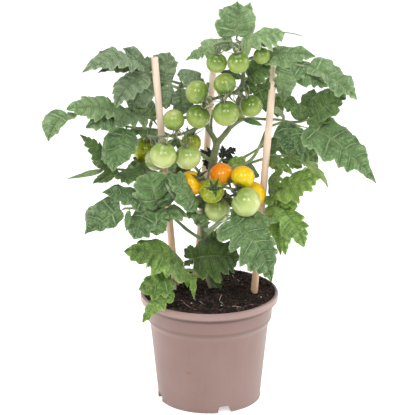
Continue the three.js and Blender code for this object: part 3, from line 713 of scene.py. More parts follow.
for bunch, (_, fruit) in TRUSSES.items():
    for number, (_, centre, radius, up, ripeness) in enumerate(fruit, 1):
        form, marks = unit_tomato(np.random.default_rng(number * 7 + len(bunch)))
        points = (form * radius @ frame_of(up) + centre) * MM
        tomato = Batch()
        tomato.add(points, grid_faces(ROWS, COLUMNS, wrap=True), marks)
        name = f"tomato_{bunch}_{number}"
        slot = "tomato_" + SLOTS.get(ripeness, ripeness)
        tomato.piece(name + "_fruit", [skins[ripeness]], slot, [name])
print(sum(len(fruit) for _, fruit in TRUSSES.values()), "tomatoes")

# %% [markdown]
# ## Trusses and calyces
# Each bunch hangs from a truss stalk. Every fruit has a short pedicel with a swollen joint, the
# place where a picked tomato snaps off, and a calyx of narrow sepals that dry, darken and curl
# up. A sepal is a thin blade, folded along its middle, made over a small grid of points.

# %% Shape one sepal
ALONG, ACROSS = 14, 5  # points of a sepal's grid


def sepal(length, width, lift, curl, sway):
    """A thin closed blade along +X that curls up as it goes: points, faces and marks."""
    s = np.linspace(0, 1, ALONG)
    slope = lift + curl * s**1.3
    run = np.concatenate([[0], np.cumsum(np.cos(slope[:-1]))]) * length / (ALONG - 1)
    climb = np.concatenate([[0], np.cumsum(np.sin(slope[:-1]))]) * length / (ALONG - 1)
    spine = np.stack([run, sway * length * s**2, climb], axis=-1)
    face = np.stack([-np.sin(slope), 0 * s, np.cos(slope)], axis=-1)
    wide = width / 2 * np.sin(math.pi * (0.15 + 0.85 * s) ** 0.6) ** 0.8 + 0.12
    t = np.linspace(-1, 1, ACROSS)[None, :, None]
    top = spine[:, None] + wide[:, None, None] * (t * (0, 1, 0) + 0.45 * np.abs(t) * face[:, None])
    under = top - 0.28 * face[:, None] * (1 - np.abs(t) ** 3)
    marks = marks_of(s[:, None], np.abs(t[0, :, 0]), length / 20)
    under_faces = grid_faces(ALONG, ACROSS) + ALONG * ACROSS
    faces = np.concatenate([grid_faces(ALONG, ACROSS, flip=True), under_faces])
    return np.concatenate([top, under]).reshape(-1, 3), faces, np.tile(marks, (2, 1))


# %% Mix the sepals' finish
def calyx_skin(name, deep, flank, end, fold):
    f = Finish(name, {"Specular IOR Level": 0.3, "Sheen Weight": 0.25})
    along, out, _ = f.mark()
    blotch = f.noise(f.place(), 240, 4)
    f.colour = f.blend(blotch.rise(0.35, 0.65), deep, flank)
    f.lay((along + blotch * 0.5).rise(0.75, 1.3), end)
    f.lay(out.rise(0.3, 0.0) * 0.5, fold)
    f.bump(blotch, 0.0003)
    return f.close(0.6 + blotch * 0.2)


SEPALS = {
    "dark_sepals": [(30, 42, 24), (58, 74, 44), (66, 62, 46), (80, 96, 62)],
    "dry_sepals": [(96, 106, 66), (146, 150, 108), (170, 152, 118), (180, 182, 142)],
}
dark_sepals, dry_sepals = (calyx_skin(name, *(rgb(*c) for c in row)) for name, row in SEPALS.items())
print("made", dark_sepals.name, dry_sepals.name)


# %% Build the trusses
def add_calyx(batch, crown, turn, furry, rng):
    """A star of curled sepals on a crown, turned so that they spread from its up direction."""
    for k in range(5):
        a = (k + rng.uniform(-0.2, 0.2)) / 5 * TURN
        size = rng.uniform(11, 15.5), rng.uniform(3, 3.8) - 1.3 * furry
        curl = rng.uniform(-1.1, 0.9) + furry * rng.uniform(0.4, 2)
        points, faces, marks = sepal(*size, rng.uniform(0.3, 0.6), curl, rng.uniform(-0.35, 0.35))
        ahead, aside = (math.cos(a), math.sin(a), 0), (-math.sin(a), math.cos(a), 0)
        placed = (points @ np.array([ahead, aside, (0, 0, 1)]) @ turn + crown) * MM
        batch.add(placed, faces, marks, finish=2)
        outward = np.tile(turn[2], (len(placed), 1)) + rng.normal(0, 0.8, (len(placed), 3))
        add_hairs(batch, placed, unit(outward), int(70 * furry), 1.3 * MM, rng, finish=1)


for bunch, (path, fruit) in TRUSSES.items():
    rng = np.random.default_rng(len(bunch) + 20)
    furry = 0.35 if bunch == "ripe" else 1
    truss = Batch()
    stalk = curve(path, np.linspace(0, 1, 60)) * MM
    swell = 1 + 0.08 * np.sin(np.linspace(0, 30, 60))
    radii = np.linspace(1.6, 1.25, 60) * swell * MM
    add_furry_tube(truss, stalk, radii, 14, int(2200 * furry), 1.7 * MM, rng)
    for at, centre, radius, up, _ in fruit:
        turn = frame_of(up)
        crown = np.array(centre) + turn[2] * (radius * SQUASH * (1 - DIMPLE) + 0.3)
        root = curve(path, [at])[0]
        knee = (crown + 4 * turn[2]) * 0.75 + root * 0.25
        shares = np.linspace(0, 1, 30)
        line = curve([root, knee, crown + turn[2] * 0.2], shares) * MM
        knuckle = 1 + 0.45 * np.exp(-(((shares - 0.52) / 0.06) ** 2))
        knuckle = knuckle - 0.2 * np.exp(-(((shares - 0.6) / 0.04) ** 2))
        thick = (0.85 + 0.35 * shares**6) * knuckle * MM
        add_furry_tube(truss, line, thick, 12, int(480 * furry), 1.5 * MM, rng)
        add_calyx(truss, crown, turn, furry, rng)
    sepals = dark_sepals if bunch == "ripe" else dry_sepals
    truss.piece(f"truss_{bunch}_stalk", [truss_skin, hair, sepals], "truss", [f"truss_{bunch}"])
    print(f"truss_{bunch}: {len(truss.faces)} faces")

# %% [markdown]
# ## The leaves
# A tomato leaf is compound: a stalk carries toothed leaflets, larger towards its end. Seen close,
# a leaflet is quilted. The side veins run out to the lobes and pull the blade down, and it swells
# up between them. So the blade is not a flat card with a picture. It is a grid whose columns follow
# the veins: each half of it sweeps forward from the midrib, and its width rises and falls once
# for every lobe. The same two numbers that place a point, its vein and its share of the way out,
# go along as its mark, and the shader draws the midrib and the side veins with them. Finer veins
# are the edges of a cell pattern. Painted shade darkens the blade near the side veins, along the
# finer veins and in small pits, where the surface dips.

# %% Mix the leaf
def leaf_skin(name, deep, middle, light, vein, under):
    f = Finish("leaf_" + name, {
        "Specular IOR Level": 0.4, "Subsurface Weight": 0.08, "Sheen Weight": 0.15,
        "Subsurface Radius": (0.0012, 0.002, 0.0006),
    })
    count, out, tone = f.mark()
    below = tone.rise(0.0, -0.01)
    where = f.place()
    sway = f.node("ShaderNodeTexNoise", {}, {"Vector": where, "Scale": 420.0}, "Color")
    wobble = where + (sway - 0.5) * 0.0014
    patch = f.noise(where, 34, 4)
    mottle = f.noise(where, 170, 5, 0.65)
    from_vein = abs((count + (patch - 0.5) * 0.3).fraction() - 0.5)
    midrib = out.rise(0.055, 0.015)
    side_vein = from_vein.rise(0.05, 0.01) * out.rise(1.0, 0.45)
    net = f.cells(wobble, 300).rise(0.1, 0.0)
    mesh = f.cells(wobble, 800).rise(0.14, 0.0)
    veins = midrib.most(side_vein * 0.8)
    sunk = veins.most(net * 0.7).most(mesh * 0.35)
    f.colour = f.blend((patch * 0.7 + abs(tone) * 0.5).rise(0.2, 0.8), deep, middle)
    fine = f.noise(where, 380, 4, 0.6)
    f.lay((mottle * 0.35 + fine * 0.65).rise(0.42, 0.66) * 0.6, light)
    # Painted shade: the blade is laid darker near the side veins, where it dips down to them.
    shade_by_veins = from_vein.rise(0.3, 0.06) * out.rise(0.0, 0.2) * out.rise(1.0, 0.7)
    grain = f.noise(where, 620, 3, 0.6)
    f.lay(shade_by_veins * 0.5, deep)
    # Painted shade: darker along the cell edges and in the pits of the fine grain, where the bump sinks.
    f.lay((grain.rise(0.5, 0.66) * 0.3).most(net * 0.3), deep)
    f.lay((midrib * 0.85).most(side_vein * 0.55), vein)
    f.lay(out.rise(0.9, 1.0) * 0.3, vein)
    f.lay(below * 0.75, under)
    height = mottle * 0.6 - sunk * 0.5 - grain * 0.4 + f.noise(where, 1800, 2) * 0.2
    f.bump(height, 0.0018)
    rough = 0.44 + mottle * 0.2 + below * 0.16 - veins * 0.05
    return f.close(rough)


# Deep, middle, light, vein and underside.
TONES = {
    "grey": [(42, 80, 34), (108, 148, 78), (170, 200, 134), (192, 211, 150), (172, 190, 148)],
    "dusty": [(72, 100, 62), (132, 158, 114), (182, 202, 160), (202, 216, 174), (182, 196, 162)],
    "young": [(66, 106, 52), (134, 169, 107), (188, 211, 155), (204, 220, 160), (180, 198, 154)],
    "top": [(84, 124, 68), (156, 190, 122), (202, 224, 168), (214, 228, 176), (190, 206, 164)],
    "fresh": [(58, 102, 16), (138, 182, 70), (194, 222, 122), (200, 220, 138), (176, 198, 128)],
    "deep": [(43, 76, 24), (91, 127, 54), (148, 177, 104), (163, 187, 117), (154, 178, 122)],
    # The next tone is the fresh tone made darker: painted shade for a leaf that hangs in shade.
    "fresh_in_shade": [(28, 52, 0), (59, 91, 2), (102, 134, 22), (114, 142, 48), (116, 136, 70)],
    # The next tone is near black: painted shade for leaflets deep in the plant's shadow.
    "shadowed": [(20, 25, 20), (38, 45, 38), (70, 78, 68), (66, 74, 58), (80, 88, 76)],
}
leaf_skins = {name: leaf_skin(name, *(rgb(*c) for c in row)) for name, row in TONES.items()}
print("leaf skins:", ", ".join(leaf_skins))

# %% [markdown]
# The leaflets are placed one by one. Each leaf has its tone, the path of its stalk from the stem
# outwards, and a row for each leaflet: where it sits on the stalk, where its tip is (three
# numbers), its width, its roll about its own rib, and how far the rib bows up. Some rows go on
# with how tapered the leaflet is, and how much wider one half of it is than the other.

# %% Place the leaves
LEAVES = {
    "crown": ("top", [(33, 0, 361), (31, 0, 368), (26, 0, 374)], [
        (1.0, 27, 8, 410, 36, 0, 3, 0.9, -0.1),
        (1.0, 40, 11, 408, 18, 0, 3, 0.3),
        (0.75, 73, -14, 383, 27, -15, 3, 0.2, 0.3),
        (0.5, 94, -2, 376, 6, -30, 8),
        (0.25, 70, 2, 373, 15, -20, 2, 0.2),
        (0.7, -24, 12, 349, 20, -5, 7, 0.8, 0.2),
    ]),
    "right_top": ("young", [(33, 1, 352), (46, 3, 355), (62, 0, 354), (78, -14, 353), (92, -22, 352)], [
        (1.0, 143, -32, 321, 32, -10, 9, 0.4, 0),
        (0.25, 103, -20, 361, 22, 0, 3, 0.4),
        (0.75, 115, -34, 335, 24, 0, 3, 0.3),
        (0.72, 74, 14, 307, 22, 0, 2, 0.4),
    ]),
    "right_back": ("deep", [(33, 6, 333), (42, 10, 330), (52, 16, 323), (66, 22, 313), (76, 24, 308)], [
        (0.1, 60, 4, 350, 24, 0, 3, 0.3),
        (0.2, 38, 6, 316, 13, 0, 2, 0.3),
        (0.03, 10, 10, 338, 9, 0, 2, 0.3),
        (0.5, 70, 12, 330, 14, 0, 2, 0.3),
        (0.35, 56, 14, 296, 16, 0, 2),
        (0.9, 85, 18, 296, 16, 0, 2),
        (0.75, 68, 20, 289, 12, 0, 2),
    ]),
    "right_middle": ("deep", [(20, 9, 238), (41, 12, 247), (51, 15, 262), (58, 17, 278), (73, 10, 287),
                              (89, -6, 292), (103, -14, 298)], [
        (1.0, 134, -22, 326, 30, 0, 3, 0.3),
        (0.84, 91, -12, 314, 17, 0, 2),
        (0.1, 50, 14, 229, 15, 0, 2, 0.3),
        (0.92, 103, 0, 324, 20, 0, 2),
        (0.9, 122, -26, 297, 16, 0, 2),
    ]),
    "right_big": ("grey", [(15, 5, 277), (33, 12, 289), (56, 18, 288), (73, 6, 290), (89, -16, 290)], [
        (1.0, 164, -38, 237, 39, 0, 22, 1, 0),
        (0.8, 78, -24, 264, 25, 0, 4),
        (0.25, 53, 4, 285, 6, 0, 1, 0.3),
        (0.75, 65, -18, 311, 14, 0, 2),
        (0.95, 90, -28, 261, 14, 0, 2),
    ]),
    "right_low": ("fresh", [(2, 8, 229), (20, 12, 238), (41, 16, 243), (56, 19, 247), (75, 8, 253),
                            (92, -10, 252)], [
        (1.0, 118, -24, 228, 10, 165, -7, 0.6),
        (0.15, 37, 14, 250, 14, 0, 2, 0.4),
        (0.78, 92, -2, 243, 14, 0, 2),
        (0.6, 82, -10, 239, 16, 0, 2, 0.3),
        (0.7, 74, -12, 244, 16, 0, 2),
        (0.86, 93, -18, 248, 7, 0, 1),
    ]),
    "right_bright": ("fresh", [(-4, 6, 190), (23, 14, 194), (45, 18, 200), (58, 14, 208), (68, 2, 209)], [
        (0.8, 111, -30, 242, 37, 0, 4, 0.3),
        (1.0, 88, -20, 208, 14, 0, 2),
        (0.8, 73, -8, 247, 18, 0, 2, 0.3),
        (0.85, 59, -12, 206, 13, 0, 2, 0.3),
        (1.0, 71, -34, 162, 14, 0, 2, 0.3),
        (1.0, 94, -34, 171, 34, 0, 4, 0.3, 0.2),
        (0.9, 76, -18, 157, 22, 0, 3),
    ]),
    "front_big": ("grey", [(-5, 6, 178), (-2, -14, 182), (7, -29, 194), (17, -34, 205)], [
        (1.0, 61, -62, 144, 43, 0, 17, 0.6),
        (1.0, 66, -34, 197, 20, 0, 3),
    ]),
    # This leaf wears the darker copy of the fresh tone: painted shade.
    "centre_low": ("fresh_in_shade", [(-1, 6, 138), (-3, -4, 143), (-12, -18, 151), (-19, -26, 156)], [
        (1.0, 31, -36, 160, 44, 0, 5),
        (0.9, -19, -28, 172, 14, 0, 1),
        (0.5, 13, -22, 189, 20, 0, 2),
        (0.25, 12, -12, 118, 12, 0, 1),
        (0.85, -25, -30, 150, 8, 0, 1, 0.3),
    ]),
    "left_bottom": ("fresh", [(0, 6, 131), (-11, -8, 137), (-23, -20, 142), (-31, -30, 143),
                              (-35, -38, 139), (-34, -46, 131)], [
        (0.4, -84, -50, 172, 41, 0, 10, 0.2, -0.25),
        (0.8, -70, -50, 132, 28, 0, 3),
        (1.0, -66, -64, 102, 18, 0, 3),
        (0.4, -22, -26, 125, 7, 0, 1),
        (0.3, -15, -40, 118, 8, 0, 1),
    ]),
    "left_low": ("grey", [(-4, 6, 163), (-22, -4, 179), (-33, -12, 192), (-43, -22, 204),
                          (-58, -34, 212), (-74, -42, 214), (-84, -46, 215)], [
        (1.0, -122, -56, 191, 37, 0, 5, 1.1, 0.45),
        (0.66, -105, -42, 230, 25, 0, 7, 0.4, 0.25),
        (0.7, -74, -48, 184, 28, 0, 3, 0.3),
        (0.6, -52, -46, 187, 24, 0, 4, 0.2),
        (0.5, -38, -46, 204, 30, 0, 6, 0.1, -0.1),
        (0.6, -60, -38, 249, 42, 0, 6, 0.2),
        (0.5, -38, -50, 226, 20, 30, 7, 0.4),
        (0.9, -81, -46, 191, 6, 0, 1),
    ]),
    "left_fold": ("grey", [(-3, 6, 202), (-8, -16, 201), (-12, -36, 209)], [
        (1.0, -41, -46, 247, 29, 15, 3, 0.3, 0.3),
        (1.0, -43, -53, 244, 9, 165, 5, 0.4),
        (0.4, -4, -26, 192, 12, 0, 2),
        (0.5, -5, -22, 189, 17, 150, 2, 0.3),
        (0.2, 25, -4, 210, 26, 0, 2, 0.3),
        (0.3, -3, 4, 212, 20, 0, 2, 0.3),
        (0.8, -23, -28, 202, 14, 0, 2, 0.3),
    ]),
    "left_top": ("dusty", [(-4, 8, 314), (-24, 12, 319), (-44, 17, 326), (-59, 16, 334), (-68, 8, 343)], [
        (0.97, -122, -44, 351, 34, 0, 14, 0.4, 0),
        (0.9, -85, 8, 363, 24, 0, 2),
        (0.95, -108, -34, 348, 14, 0, 2),
        (0.86, -91, -36, 314, 26, 0, 6, 0.4, 0),
        (0.5, -39, 16, 357, 25, 0, 2, 0.3, -0.2),
        (0.45, -43, 8, 301, 16, 0, 2),
        (0.8, -78, 4, 299, 26, 0, 3),
        (0.3, -26, 6, 296, 22, 0, 3, 0.4),
        (0.3, -31, 14, 321, 14, 0, 2, 0.4),
        (0.8, -61, 8, 355, 15, 0, 2, 0.4),
    ]),
    "top_left": ("dusty", [(-3, 9, 320), (-6, 14, 326), (-7, 16, 330)], [
        (1.0, -32, 8, 336, 22, 0, 3),
        (0.97, -24, 20, 303, 16, 0, 2),
    ]),
    "left_far": ("young", [(-4, 9, 295), (-24, 17, 290), (-49, 23, 288), (-69, 10, 292),
                           (-97, -14, 300), (-121, -32, 306), (-137, -40, 310)], [
        (1.0, -155, -54, 285, 23, 0, 9, 0.4, 0.2),
        (0.6, -138, -42, 314, 27, 0, 9, 0, 0),
        (0.92, -137, -44, 304, 7, 0, 1),
        (0.45, -120, -40, 295, 31, 0, 7, 0.2, -0.1),
        (0.4, -70, 16, 312, 27, 0, 3, 0.3),
    ]),
    "left_middle": ("grey", [(3, 7, 247), (-24, 20, 262), (-47, 27, 272), (-69, 8, 281), (-83, -8, 288)], [
        (1.0, -94, -46, 252, 32, 0, 5, 0.6, 0.1),
        (0.95, -106, -34, 261, 18, 160, 2, 0.3),
        (0.45, -80, 2, 281, 18, 0, 2, 0.3),
        (0.3, -38, 12, 261, 15, 0, 2, 0.3),
        (0.15, -23, 12, 281, 11, 0, 2, 0.3),
    ]),
    "left_back": ("deep", [(-2, 6, 210), (-30, 24, 222), (-55, 28, 230), (-81, 8, 238), (-104, -8, 245)], [
        (1.0, -127, -26, 285, 18, 0, 3),
        (0.92, -116, -14, 254, 8, 170, 1),
        (0.75, -80, -30, 236, 28, 0, 3),
        (1.0, -142, -30, 240, 6, 175, 3, 0.9),
        (0.85, -115, -26, 234, 16, 0, 1, 0.3),
        (0.15, -32, 14, 243, 18, 0, 2, 0.3),
        (0.45, -56, -6, 239, 12, 0, 1),
        (0.6, -76, -4, 254, 15, 0, 1, 0.3),
    ]),
    # These leaflets wear the near-black tone: painted shade in the middle of the plant.
    "middle_back": ("shadowed", [(1, 8, 229), (9, 24, 239), (15, 32, 246)], [
        (1.0, 27, 31, 254, 10, 0, 1),
        (0.5, -10, 22, 256, 10, 0, 1),
        (0.3, -10, 24, 254, 10, 0, 1),
        (0.3, -8, 24, 244, 10, 0, 1),
        (0.4, -3, 24, 258, 9, 0, 1),
        (0.8, 13, 30, 258, 8, 0, 1),
        (0.7, 30, 27, 240, 9, 0, 2),
    ]),
    "back_high_left": ("grey", [(-4, 9, 306), (-20, 26, 318), (-42, 42, 322), (-60, 50, 322)], [
        (1.0, -96, 64, 300, 34, 0, 5),
        (0.8, -50, 70, 306, 24, 0, 3),
        (0.7, -80, 30, 320, 22, 0, 3),
        (0.4, -14, 56, 306, 20, 0, 2),
    ]),
    "back_high_right": ("grey", [(33, 5, 340), (44, 24, 346), (64, 38, 342), (80, 46, 334)], [
        (1.0, 118, 58, 322, 28, 0, 5),
        (0.8, 70, 68, 314, 24, 0, 3),
        (0.7, 102, 30, 332, 22, 0, 3),
        (0.4, 36, 54, 326, 20, 0, 2),
    ]),
    "back_middle_left": ("deep", [(-3, 9, 226), (-18, 34, 236), (-38, 48, 238), (-52, 54, 236)], [
        (1.0, -88, 66, 208, 36, 0, 5),
        (0.8, -40, 70, 208, 24, 0, 3),
        (0.7, -82, 42, 232, 22, 0, 3),
    ]),
    "back_middle_right": ("deep", [(4, 6, 234), (24, 32, 238), (50, 44, 250), (68, 50, 262)], [
        (1.0, 112, 60, 230, 36, 0, 5),
        (0.8, 62, 71, 230, 24, 0, 3),
        (0.7, 98, 32, 258, 22, 0, 3),
    ]),
    "back_low_right": ("fresh", [(-4, 6, 168), (14, 34, 176), (34, 48, 178), (46, 54, 176)], [
        (1.0, 78, 68, 152, 34, 0, 4),
        (0.8, 36, 70, 148, 24, 0, 3),
        (0.7, 76, 44, 170, 22, 0, 3),
    ]),
}
print(f"{len(LEAVES)} leaves, {sum(len(rows) for _, _, rows in LEAVES.values())} leaflets")

# %% [markdown]
# A leaflet grows in three steps. First its outline, as a half width for each column of the grid.
# Then the swelling, folding and rolling of its two halves, each with an upper and an under side.
# Last it goes on its stalk, with a rib of its own. Seeded draws make no two leaflets alike.

# %% Draw a leaflet's outline
NECK = 0.1  # share of the rib that is bare stalk
CURL = 0.11  # half widths: radius of an edge that rolls over
# For each tone: millimetres from lobe to lobe, and how deep the shallowest and deepest cuts go.
LOBING = {
    "grey": (12, 0.1, 0.28), "dusty": (12, 0.1, 0.28), "young": (11, 0.14, 0.32),
    "top": (9, 0.16, 0.34), "fresh": (11, 0.2, 0.36), "deep": (10, 0.14, 0.3),
    "fresh_in_shade": (10, 0.18, 0.34), "shadowed": (5, 0.4, 0.6),
}


def vein_columns(lobes, per_lobe, rng):
    """For each column of the grid: its place along the rib and its vein number."""
    gaps = np.linspace(1.25, 0.8, lobes) * rng.uniform(0.75, 1.25, lobes)
    edges = np.concatenate([[0], np.cumsum(gaps)]) / gaps.sum() * 0.88 + 0.012
    share = np.arange(per_lobe) / per_lobe
    along = [edges[k] + (edges[k + 1] - edges[k]) * share for k in range(lobes)]
    number = [k + share for k in range(lobes)]
    tip = np.linspace(0, 1, 7)
    along = np.concatenate([[0], *along, edges[-1] + (1 - edges[-1]) * tip])
    number = np.concatenate([[0], *number, lobes + 0.45 * tip])
    return along, number


def half_width(along, number, lobes, taper, depth, rng):
    """Share of the leaflet's half width at each column: a pointed egg, nicked between its lobes."""
    egg = np.sin(math.pi * along ** (0.64 - 0.16 * taper)) ** (0.6 + 0.5 * taper) * (1 - 0.3 * along**4)
    depths = depth * np.linspace(1.2, 0.7, lobes + 1) * rng.uniform(0.3, 1.6, lobes + 1)
    share = number - np.floor(number)
    peak = np.minimum(share / 0.62, (1 - share) / 0.38)
    lobe = 0.6 * np.sin(math.pi * share**1.35) ** 0.55 + 0.4 * peak
    teeth = 0.025 * np.sin(math.pi * 5 * share + rng.uniform(0, 6)) * lobe
    cut = depths[np.floor(number).astype(int)] * (1 - lobe) + teeth
    return egg * np.where(number < lobes, 1 - cut, 1 - 0.5 * cut), lobe


# %% Swell and fold the blade
def crumple(points, seed):
    """Soft folds of three sizes at each point, mostly between -1 and 1."""
    folds = []
    for p in points.reshape(-1, 3):
        here = Vector(p) + seed
        coarse, middle, fine = (noise.noise(here * scale) for scale in (55, 130, 290))
        folds.append(coarse + 0.7 * middle + 0.3 * fine)
    return np.array(folds).reshape(points.shape[:-1])


def add_half(batch, rib, side, width, lobes, depth, rng):
    """Half a leaflet, out to one edge that rolls over in one place: upper and under side."""
    rows, per_lobe = (13, 8) if width > 22 * MM else (9, 7)
    along, number = vein_columns(lobes, per_lobe, rng)
    wide, lobe = half_width(along, number, lobes, rib.taper, depth, rng)
    out = np.linspace(0, 1, rows)[:, None] ** 0.8
    sweep = np.interp(along, [0, 0.06, 0.2, 0.5, 1], [-0.5, -0.35, 0.25, 0.62, 0.5])
    forward = sweep * out**1.3 * wide * width / (2 * rib.length)
    s = np.minimum(NECK + (1 - NECK) * (along + forward), 1)
    reach = out * wide
    quilt = 0.5 - 0.5 * np.cos(2 * math.pi * (number - 0.5))
    lift = 0.065 * quilt * np.sin(math.pi * out) ** 0.7
    lift = lift - rib.droop * reach**2 + rib.fold * reach + side * rib.twist * reach * s
    lift = lift + 0.08 * out**2 * np.sin(math.pi * number * 0.8 + rng.uniform(0, 6)) * wide
    lift = lift - 0.07 * out**3 * lobe * wide - 0.014 * np.exp(-((out / 0.07) ** 2)) * (wide > 0.1)
    flat = rib.at(s) + (reach * side * width / 2)[..., None] * rib.across
    lift = lift + 0.1 * crumple(flat, rib.seed) * np.minimum(reach * 3, 1)
    place, amount = rng.uniform(0.15, 0.95), rng.choice([-1, 1, 1]) * rng.uniform(0.3, 1)
    rolled = amount * np.exp(-(((along - place) / 0.16) ** 2))
    kept = wide * (1 - 0.32 * np.abs(rolled))
    turned = np.maximum(reach - kept, 0) / CURL
    reach = np.minimum(reach, kept) + CURL * np.sin(turned)
    lift = lift + np.sign(amount) * CURL / 2 * (1 - np.cos(turned))
    flat = rib.at(s) + (reach * side * width / 2)[..., None] * rib.across
    top = flat + (lift * width)[..., None] * rib.face
    turned = np.sign(amount) * turned[..., None]
    normal = np.cos(turned) * rib.face - side * np.sin(turned) * rib.across
    under = top - (0.36 * MM * (1 - out**5) * np.minimum(wide * 4, 1))[..., None] * normal
    for points, tone, flip in ((top, rib.tone, side > 0), (under, -rib.tone, side < 0)):
        faces = grid_faces(rows, len(along), flip=flip)
        batch.add(points.reshape(-1, 3), faces, marks_of(number, out, tone))


# %% Put a leaflet on its stalk
FULLNESS = 1.14  # how much wider a blade is made than its row says


def add_leaflet(batch, base, row, tone, rng):
    tip = np.array(row[1:4]) * MM
    width, roll, bow = row[4] * MM, math.radians(row[5]), row[6] * MM
    line = tip - base
    length = np.linalg.norm(line)
    ahead = line / length
    face = np.array([0, -0.6, 0.8])
    face = unit(face - face.dot(ahead) * ahead)
    face = face * math.cos(roll) + np.cross(ahead, face) * math.sin(roll)
    across = np.cross(ahead, face)
    bend = rng.uniform(-0.07, 0.07) * length

    def at(s):
        s = np.asarray(s)[..., None]
        arched = base + line * s + face * (4 * bow * s * (1 - s))
        return arched + across * (bend * np.sin(math.pi * s) * s)

    rib = SimpleNamespace(
        at=at, length=length, face=face, across=across, seed=Vector(rng.uniform(0, 5, 3)),
        fold=rng.uniform(0, 0.24), twist=rng.uniform(-0.2, 0.2), droop=rng.uniform(0.06, 0.24),
        tone=rng.uniform(0.1, 1), taper=row[7] if len(row) > 7 else rng.uniform(0.25, 0.7),
    )
    lean = row[8] if len(row) > 8 else rng.uniform(-0.1, 0.1)
    narrow = width < 8 * MM
    pitch, shallow, cut = LOBING[tone]
    lobes = 2 if narrow else int(np.clip(length / (pitch * MM), 3, 6))
    depth = 0.1 if narrow else rng.uniform(shallow, cut)
    for side in (1, -1):
        add_half(batch, rib, side, width * FULLNESS * (1 + side * lean), lobes, depth, rng)
    shares = np.linspace(0, 0.9, 16)
    thick = np.interp(shares, [0, NECK, 0.9], [0.72, 0.5, 0.12]) * MM
    add_tube(batch, at(shares) - face * 0.3 * MM, thick, sides=6, finish=1)


# %% Grow every leaf
for number, (name, (tone, path, rows)) in enumerate(LEAVES.items()):
    rng = np.random.default_rng(100 + number)
    leaf = Batch()
    shares = np.linspace(0, 1, 14 * (len(path) - 1))
    stalk = curve(path, shares) * MM
    radii = np.linspace(1.75, 0.95, len(shares)) * (1 + 0.05 * np.sin(shares * 40)) * MM
    add_furry_tube(leaf, stalk, radii, 12, 40 * len(stalk), 1.2 * MM, rng, finish=1)
    for row in rows:
        base = curve(path, [min(row[0], 0.97)])[0] * MM
        add_leaflet(leaf, base, row, tone, rng)
    finishes = [leaf_skins[tone], stalk_skin, hair]
    leaf.piece(f"leaf_{name}_blades", finishes, "leaf", [f"leaf_{name}"])
print("the leaves are grown")

# %% [markdown]
# ## The peat
# Potting peat is nearly black when damp: crumbs of every size, brown fibres, a few pale roots
# that have come up to the light, and odd white grains. The ground under them is a round grid of
# points, lifted by layers of noise. The crumbs, fibres and roots are small forms scattered on it.

# %% Mix the peat
def peat_skin(name, dark, brown, pale):
    f = Finish(name, {"Specular IOR Level": 0.35})
    where = f.place()
    clumps = f.noise(where, 130, 6, 0.7)
    dust = f.noise(where, 900, 4, 0.7)
    f.colour = f.blend(clumps.rise(0.4, 0.66), dark, brown)
    f.lay(dust.rise(0.54, 0.7) * 0.7, pale)
    f.bump(clumps + dust * 0.5, 0.0012)
    return f.close(0.72 + dust * 0.25)


def plain_grain(name, low, high, rough):
    f = Finish(name, {"Specular IOR Level": 0.35})
    tint = f.noise(f.place(), 500, 3)
    f.bump(tint, 0.0002)
    f.colour = f.blend(tint.rise(0.3, 0.7), low, high)
    return f.close(rough + tint * 0.1)


ground = peat_skin("peat", rgb(16, 11, 10), rgb(40, 29, 26), rgb(72, 56, 50))
crumb_skin = peat_skin("peat_crumbs", rgb(24, 16, 14), rgb(74, 54, 48), rgb(122, 98, 86))
fibre_skin = plain_grain("fibre", rgb(50, 36, 26), rgb(104, 80, 58), 0.7)
root_skin = plain_grain("root", rgb(144, 124, 106), rgb(204, 190, 174), 0.5)
perlite_skin = plain_grain("perlite", rgb(206, 202, 194), rgb(242, 240, 234), 0.6)
print("peat finishes are mixed")

# %% Lay the ground
EDGE = 66.2  # radius of the peat's top, where it meets the pot


def peat_height(x, y):
    """Height of the peat in millimetres, smooth part only."""
    radius, turn = math.hypot(x, y), math.atan2(y, x)
    lumps = math.sin(0.19 * radius + 3 * turn) + math.sin(0.31 * radius - 5 * turn + 1)
    return 112.3 + 1.2 * (1 - (radius / 67) ** 2) + 0.8 * lumps


def rough_height(x, y):
    here = Vector((x * 0.11, y * 0.11, 0))
    detail = noise.noise(here) + 0.5 * noise.noise(here * 2.7) + 0.28 * noise.noise(here * 7)
    inner = min(1, max(0, (EDGE - math.hypot(x, y)) / 1.2))
    return peat_height(x, y) + 1.1 * detail * inner


RADII = np.concatenate([np.linspace(0.2, 62, 74), np.linspace(62.8, EDGE, 6)])
SIDES = 230
INSIDE = [(65.6, 109.5), (62, 104), (61.5, 88.5), (58, 80.5), (50.8, 10.6), (0.2, 10.6)]
turns = around(SIDES)
surface = []
for radius in RADII:
    for a in turns:
        x, y = radius * math.cos(a), radius * math.sin(a)
        surface.append((x, y, rough_height(x, y)))
wall = [(r * math.cos(a), r * math.sin(a), z) for r, z in INSIDE for a in turns]
peat = Batch()
peat.add(np.array(surface + wall) * MM, grid_faces(len(RADII) + len(INSIDE), SIDES, wrap=True))
peat.add(np.array(surface[:SIDES]) * MM, [list(range(SIDES))])
peat.piece("peat_bed", [ground], "soil", ["soil"])
print(f"peat: {len(peat.faces)} faces")

# %% Scatter crumbs and perlite
CRUMBS = 2700
RIM_CRUMBS = 1300
GRAINS = 60
PERLITE = [
    (-2, -28), (-18, -39), (28, -52), (40, 8), (12, -44), (-30, -40), (52, -22), (20, 30), (-46, -12),
]
rng = np.random.default_rng(11)


def on_peat(reach):
    """A random place on the peat, as likely anywhere within reach of its middle."""
    radius, turn = reach * math.sqrt(rng.random()), rng.uniform(0, TURN)
    return radius * math.cos(turn), radius * math.sin(turn)


